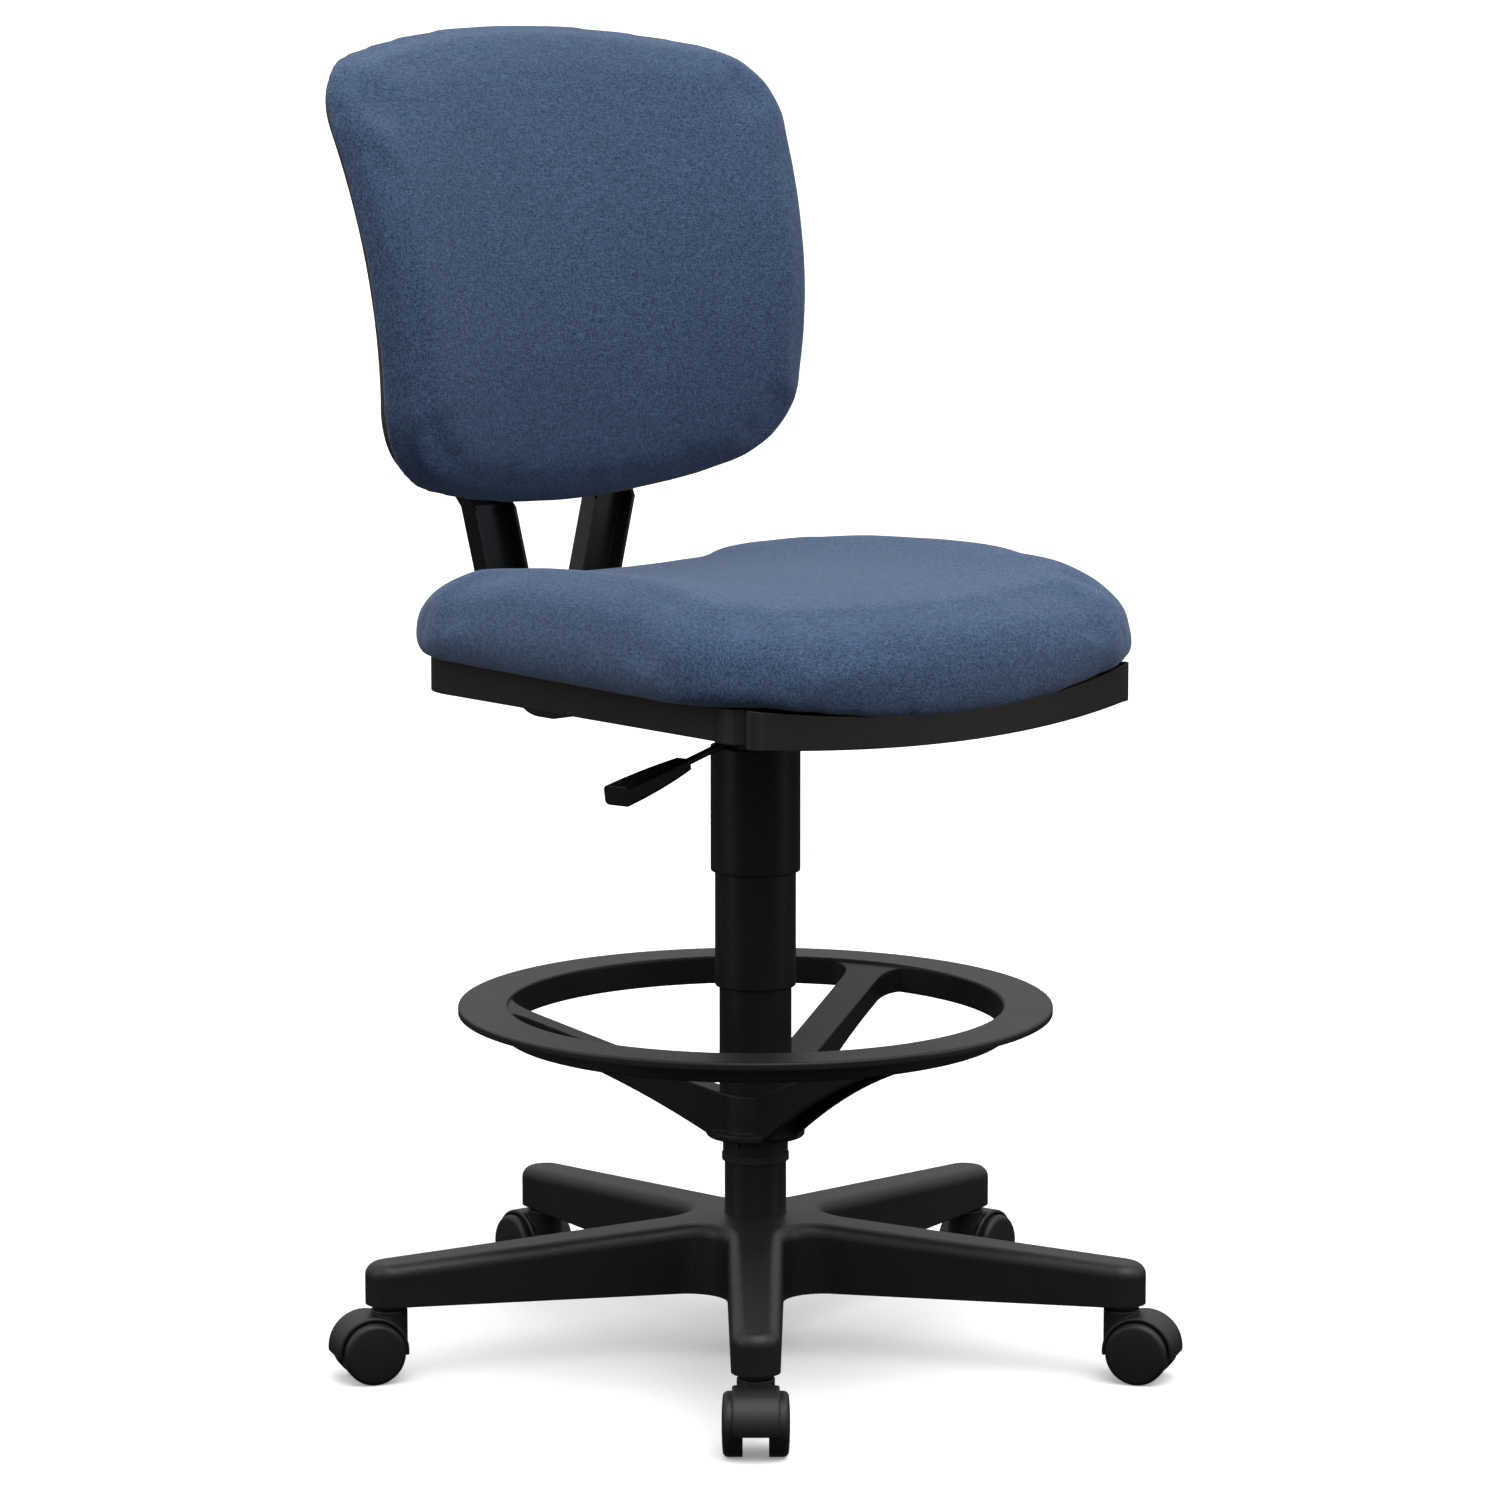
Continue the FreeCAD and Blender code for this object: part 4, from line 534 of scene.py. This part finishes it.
class CHAIR_OT_seat_pad(bpy.types.Operator):
    """Make the seat's foam pad with its woven cover"""

    bl_idname = "chair.seat_pad"
    bl_label = "Seat pad"

    def execute(self, context):
        pads = context.scene.chair_pads
        bm = slab(seat_outline(SEAT_SWELL), SEAT_RIM, SEAT_TOP - SEAT_SWELL,
                  pads.seat_edge, SEAT_LOW_EDGE)
        pad = new_piece("seat_pad", bm, "seat", "blue_fabric")
        remeshed(pad, pads.voxel)
        puffed(pad, SEAT_PUFF, lambda co: 1.0 - eased(co.z, *SEAT_FREE_Z))
        relaxed(pad, SEAT_RELAX_ROUNDS)
        reshaped(pad, seat_form(pads))
        subdivided(pad)
        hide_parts("seat_cushion")
        return {"FINISHED"}


# ---------------------------------------------------------------- back pad
BACK_TOP = 1.066
BACK_LOW = 0.671
BACK_WIDE = 0.239
BACK_NARROW = 0.223
LUMBAR_Z = 0.790
LUMBAR_Y = 0.222
UPPER_CURVE = 0.420
LOWER_CURVE = 0.430
WRAP = 0.860
BACK_FRONT = 0.027
BACK_REAR = 0.008
BACK_SHOULDER = (0.054, 0.019)
BACK_HIP = (0.063, 0.020)
BACK_TOP_CORNER = 0.082
BACK_LOW_CORNER = 0.099
BACK_SWELL = 0.001
BACK_PUFF = 0.006
BACK_LOW_EDGE = 0.006
BACK_RELAX_ROUNDS = 3
BACK_FREE_DEPTH = (-BACK_REAR + 0.001, -BACK_REAR + 0.012)
BACK_TUCK = 0.016
BACK_TUCK_Z = (0.700, 0.840)


def back_outline(margin):
    """Front view of the back pad as (x, z): crowned top, large corners, sides drawn in towards the bottom."""
    wide = BACK_WIDE - margin
    narrow = BACK_NARROW - margin
    top = BACK_TOP - margin
    low = BACK_LOW + margin
    shoulder = (wide - BACK_SHOULDER[0], top - BACK_SHOULDER[1])
    hip = (narrow - BACK_HIP[0], low + BACK_HIP[1])
    side_top = (wide, top - BACK_TOP_CORNER)
    side_low = (narrow, low + BACK_LOW_CORNER)
    half = arc_points((0, top), (shoulder[0] * 0.5, top - 0.0047), shoulder, 8)
    half += arc_points(shoulder, (wide - 0.014, top - 0.040), side_top, 12)
    half += straight(side_top, side_low, 8)
    half += arc_points(side_low, (narrow - 0.016, low + 0.050), hip, 12)
    half += arc_points(hip, (hip[0] * 0.5, low + 0.005), (0, low), 8) + [Vector((0, low))]
    return mirrored(half)


def back_form(pads):
    """Rule that bends the flat pad: its plan (x, y) stands up as (x, z) and its thickness runs along -Y."""
    def rule(co):
        x, z, depth = co
        middle = 0.5 * (BACK_TOP + BACK_LOW)
        radius = UPPER_CURVE if z > LUMBAR_Z else LOWER_CURVE
        spine = LUMBAR_Y + (z - LUMBAR_Z) ** 2 / (2 * radius) - x * x / (2 * WRAP)
        rim = min(1.0, math.hypot(x / BACK_WIDE, (z - middle) / (0.5 * (BACK_TOP - BACK_LOW))))
        crown = pads.back_crown * (1 - rim ** 2) * eased(depth, -BACK_REAR, BACK_FRONT)
        tuck = 1 - BACK_TUCK * (1 - eased(z, *BACK_TUCK_Z))
        return Vector((x * tuck, spine - depth - crown, z))
    return rule


class CHAIR_OT_back_pad(bpy.types.Operator):
    """Make the back's foam pad with its woven cover"""

    bl_idname = "chair.back_pad"
    bl_label = "Back pad"

    def execute(self, context):
        pads = context.scene.chair_pads
        bm = slab(back_outline(BACK_SWELL), -BACK_REAR, BACK_FRONT - BACK_SWELL,
                  pads.back_edge, BACK_LOW_EDGE)
        pad = new_piece("back_pad", bm, "seat", "blue_fabric")
        remeshed(pad, pads.voxel)
        puffed(pad, BACK_PUFF, lambda co: 1.0 - eased(co.z, *BACK_FREE_DEPTH))
        relaxed(pad, BACK_RELAX_ROUNDS)
        reshaped(pad, back_form(pads))
        faced_outwards(pad)
        subdivided(pad)
        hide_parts("back_cushion")
        return {"FINISHED"}


# ---------------------------------------------------------------- finishes
class CHAIR_OT_finishes(bpy.types.Operator):
    """Give every piece and every frame node its finish"""

    bl_idname = "chair.finishes"
    bl_label = "Finishes"

    def execute(self, context):
        made = finishes(context.scene.chair_colours)
        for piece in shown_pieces():
            slot = SLOT_OF.get(piece.name) or piece["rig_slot"]
            piece.data.materials.clear()
            piece.data.materials.append(made[slot])
        return {"FINISHED"}


# ---------------------------------------------------------------- stage
FLOOR_RADIUS = 80.0
CAMERA_SIDE_STEP = 0.00443
SUN_ANGLE = math.radians(50.0)
SUN_PATH = (0.12, 0.50, -1.0)
SIDE_LIGHT_SIZE = (0.8, 2.2)
# Name, place (towards the camera, to its right, up) and share of the side lights' power.
SIDE_LIGHTS = (("side_left", (0.8, -2.2, 1.3), 1.0), ("side_right", (0.4, 2.2, 1.3), 0.8))
STAGE_MIDDLE = (0.0, 0.0, 0.6)
SKY_FADE = (-0.12, 0.9)


def area_light(name, position, target, size, power):
    data = bpy.data.lights.new(name, "AREA")
    data.shape = "RECTANGLE"
    data.size, data.size_y = size
    data.energy = power
    lamp = bpy.data.objects.new(name, data)
    lamp.location = position
    lamp.rotation_euler = (Vector(target) - Vector(position)).to_track_quat("-Z", "Y").to_euler()
    bpy.context.scene.collection.objects.link(lamp)


def studio_sky(stage):
    """Soft light, strongest overhead and weakest below the horizon; the camera itself sees plain white."""
    world = bpy.data.worlds.new("studio")
    world.use_nodes = True
    tree = world.node_tree
    where = tree.nodes.new("ShaderNodeTexCoord")
    split = tree.nodes.new("ShaderNodeSeparateXYZ")
    fade = tree.nodes.new("ShaderNodeMapRange")
    fade.inputs["From Min"].default_value = SKY_FADE[0]
    fade.inputs["From Max"].default_value = SKY_FADE[1]
    fade.inputs["To Min"].default_value = stage.ground * stage.sky
    fade.inputs["To Max"].default_value = stage.sky
    tree.links.new(where.outputs["Generated"], split.inputs[0])
    tree.links.new(split.outputs["Z"], fade.inputs["Value"])
    light = tree.nodes["Background"]
    light.inputs["Color"].default_value = (1.0, 1.0, 1.0, 1.0)
    tree.links.new(fade.outputs[0], light.inputs["Strength"])
    plain = tree.nodes.new("ShaderNodeBackground")
    plain.inputs["Color"].default_value = (1.0, 1.0, 1.0, 1.0)
    seen = tree.nodes.new("ShaderNodeLightPath")
    choice = tree.nodes.new("ShaderNodeMixShader")
    tree.links.new(seen.outputs["Is Camera Ray"], choice.inputs[0])
    tree.links.new(light.outputs[0], choice.inputs[1])
    tree.links.new(plain.outputs[0], choice.inputs[2])
    tree.links.new(choice.outputs[0], tree.nodes["World Output"].inputs["Surface"])
    return world


class CHAIR_OT_stage(bpy.types.Operator):
    """Set the pale floor, the soft lights and the camera"""

    bl_idname = "chair.stage"
    bl_label = "Stage"

    def execute(self, context):
        scene = context.scene
        stage = scene.chair_stage
        bm = bmesh.new()
        bmesh.ops.create_circle(bm, cap_ends=True, segments=64, radius=FLOOR_RADIUS)
        mesh = bpy.data.meshes.new("floor")
        bm.to_mesh(mesh)
        bm.free()
        floor = bpy.data.objects.new("floor", mesh)
        scene.collection.objects.link(floor)
        paint = Finish("floor_paint", Roughness=0.9, Specular_IOR_Level=0.1)
        paint.shader.inputs["Base Color"].default_value = (*stage.floor, 1.0)
        paint.shader.inputs["Emission Color"].default_value = (1.0, 1.0, 1.0, 1.0)
        paint.shader.inputs["Emission Strength"].default_value = stage.glow
        mesh.materials.append(paint.material)
        floor.visible_diffuse = False
        floor.visible_glossy = False
        floor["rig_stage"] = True
        scene.world = studio_sky(stage)
        sun = bpy.data.lights.new("key", "SUN")
        sun.energy = stage.key
        sun.angle = SUN_ANGLE
        lamp = bpy.data.objects.new("key", sun)
        lamp.rotation_euler = Vector(SUN_PATH).to_track_quat("-Z", "Y").to_euler()
        scene.collection.objects.link(lamp)
        toward = Vector((math.sin(stage.azimuth), -math.cos(stage.azimuth), 0.0))
        right = Vector((math.cos(stage.azimuth), math.sin(stage.azimuth), 0.0))
        for name, (ahead, aside, up), share in SIDE_LIGHTS:
            place = toward * ahead + right * aside + Vector((0, 0, up))
            area_light(name, place, STAGE_MIDDLE, SIDE_LIGHT_SIZE, stage.side * share)
        camera = bpy.data.objects.new("camera", bpy.data.cameras.new("camera"))
        camera.data.sensor_width = 36.0
        camera.data.lens = stage.lens
        camera.data.clip_end = 200.0
        camera.location = toward * stage.distance - right * CAMERA_SIDE_STEP + Vector((0, 0, stage.height))
        camera.rotation_euler = (math.pi / 2 - stage.tilt, 0.0, stage.azimuth)
        scene.collection.objects.link(camera)
        scene.camera = camera
        scene.view_settings.view_transform = "Standard"
        return {"FINISHED"}


# ---------------------------------------------------------------- panel and registration
STEPS = (CHAIR_OT_seat_pad, CHAIR_OT_back_pad, CHAIR_OT_finishes, CHAIR_OT_stage)


class CHAIR_PT_build(bpy.types.Panel):
    """Steps that build the chair's looks"""

    bl_idname = "CHAIR_PT_build"
    bl_label = "Drafting Chair"
    bl_space_type = "VIEW_3D"
    bl_region_type = "UI"
    bl_category = "Chair"

    def draw(self, context):
        for group in (context.scene.chair_pads, context.scene.chair_colours, context.scene.chair_stage):
            box = self.layout.box()
            for name in group.__annotations__:
                box.prop(group, name)
        for step in STEPS:
            self.layout.operator(step.bl_idname)


CLASSES = (ChairPads, ChairColours, ChairStage, *STEPS, CHAIR_PT_build)


def register():
    for item in CLASSES:
        bpy.utils.register_class(item)
    bpy.types.Scene.chair_pads = PointerProperty(type=ChairPads)
    bpy.types.Scene.chair_colours = PointerProperty(type=ChairColours)
    bpy.types.Scene.chair_stage = PointerProperty(type=ChairStage)


def unregister():
    del bpy.types.Scene.chair_stage
    del bpy.types.Scene.chair_colours
    del bpy.types.Scene.chair_pads
    for item in reversed(CLASSES):
        bpy.utils.unregister_class(item)


def main():
    register()
    for step in STEPS:
        getattr(bpy.ops.chair, step.bl_idname.split(".")[1])()


if __name__ == "__main__":
    main()
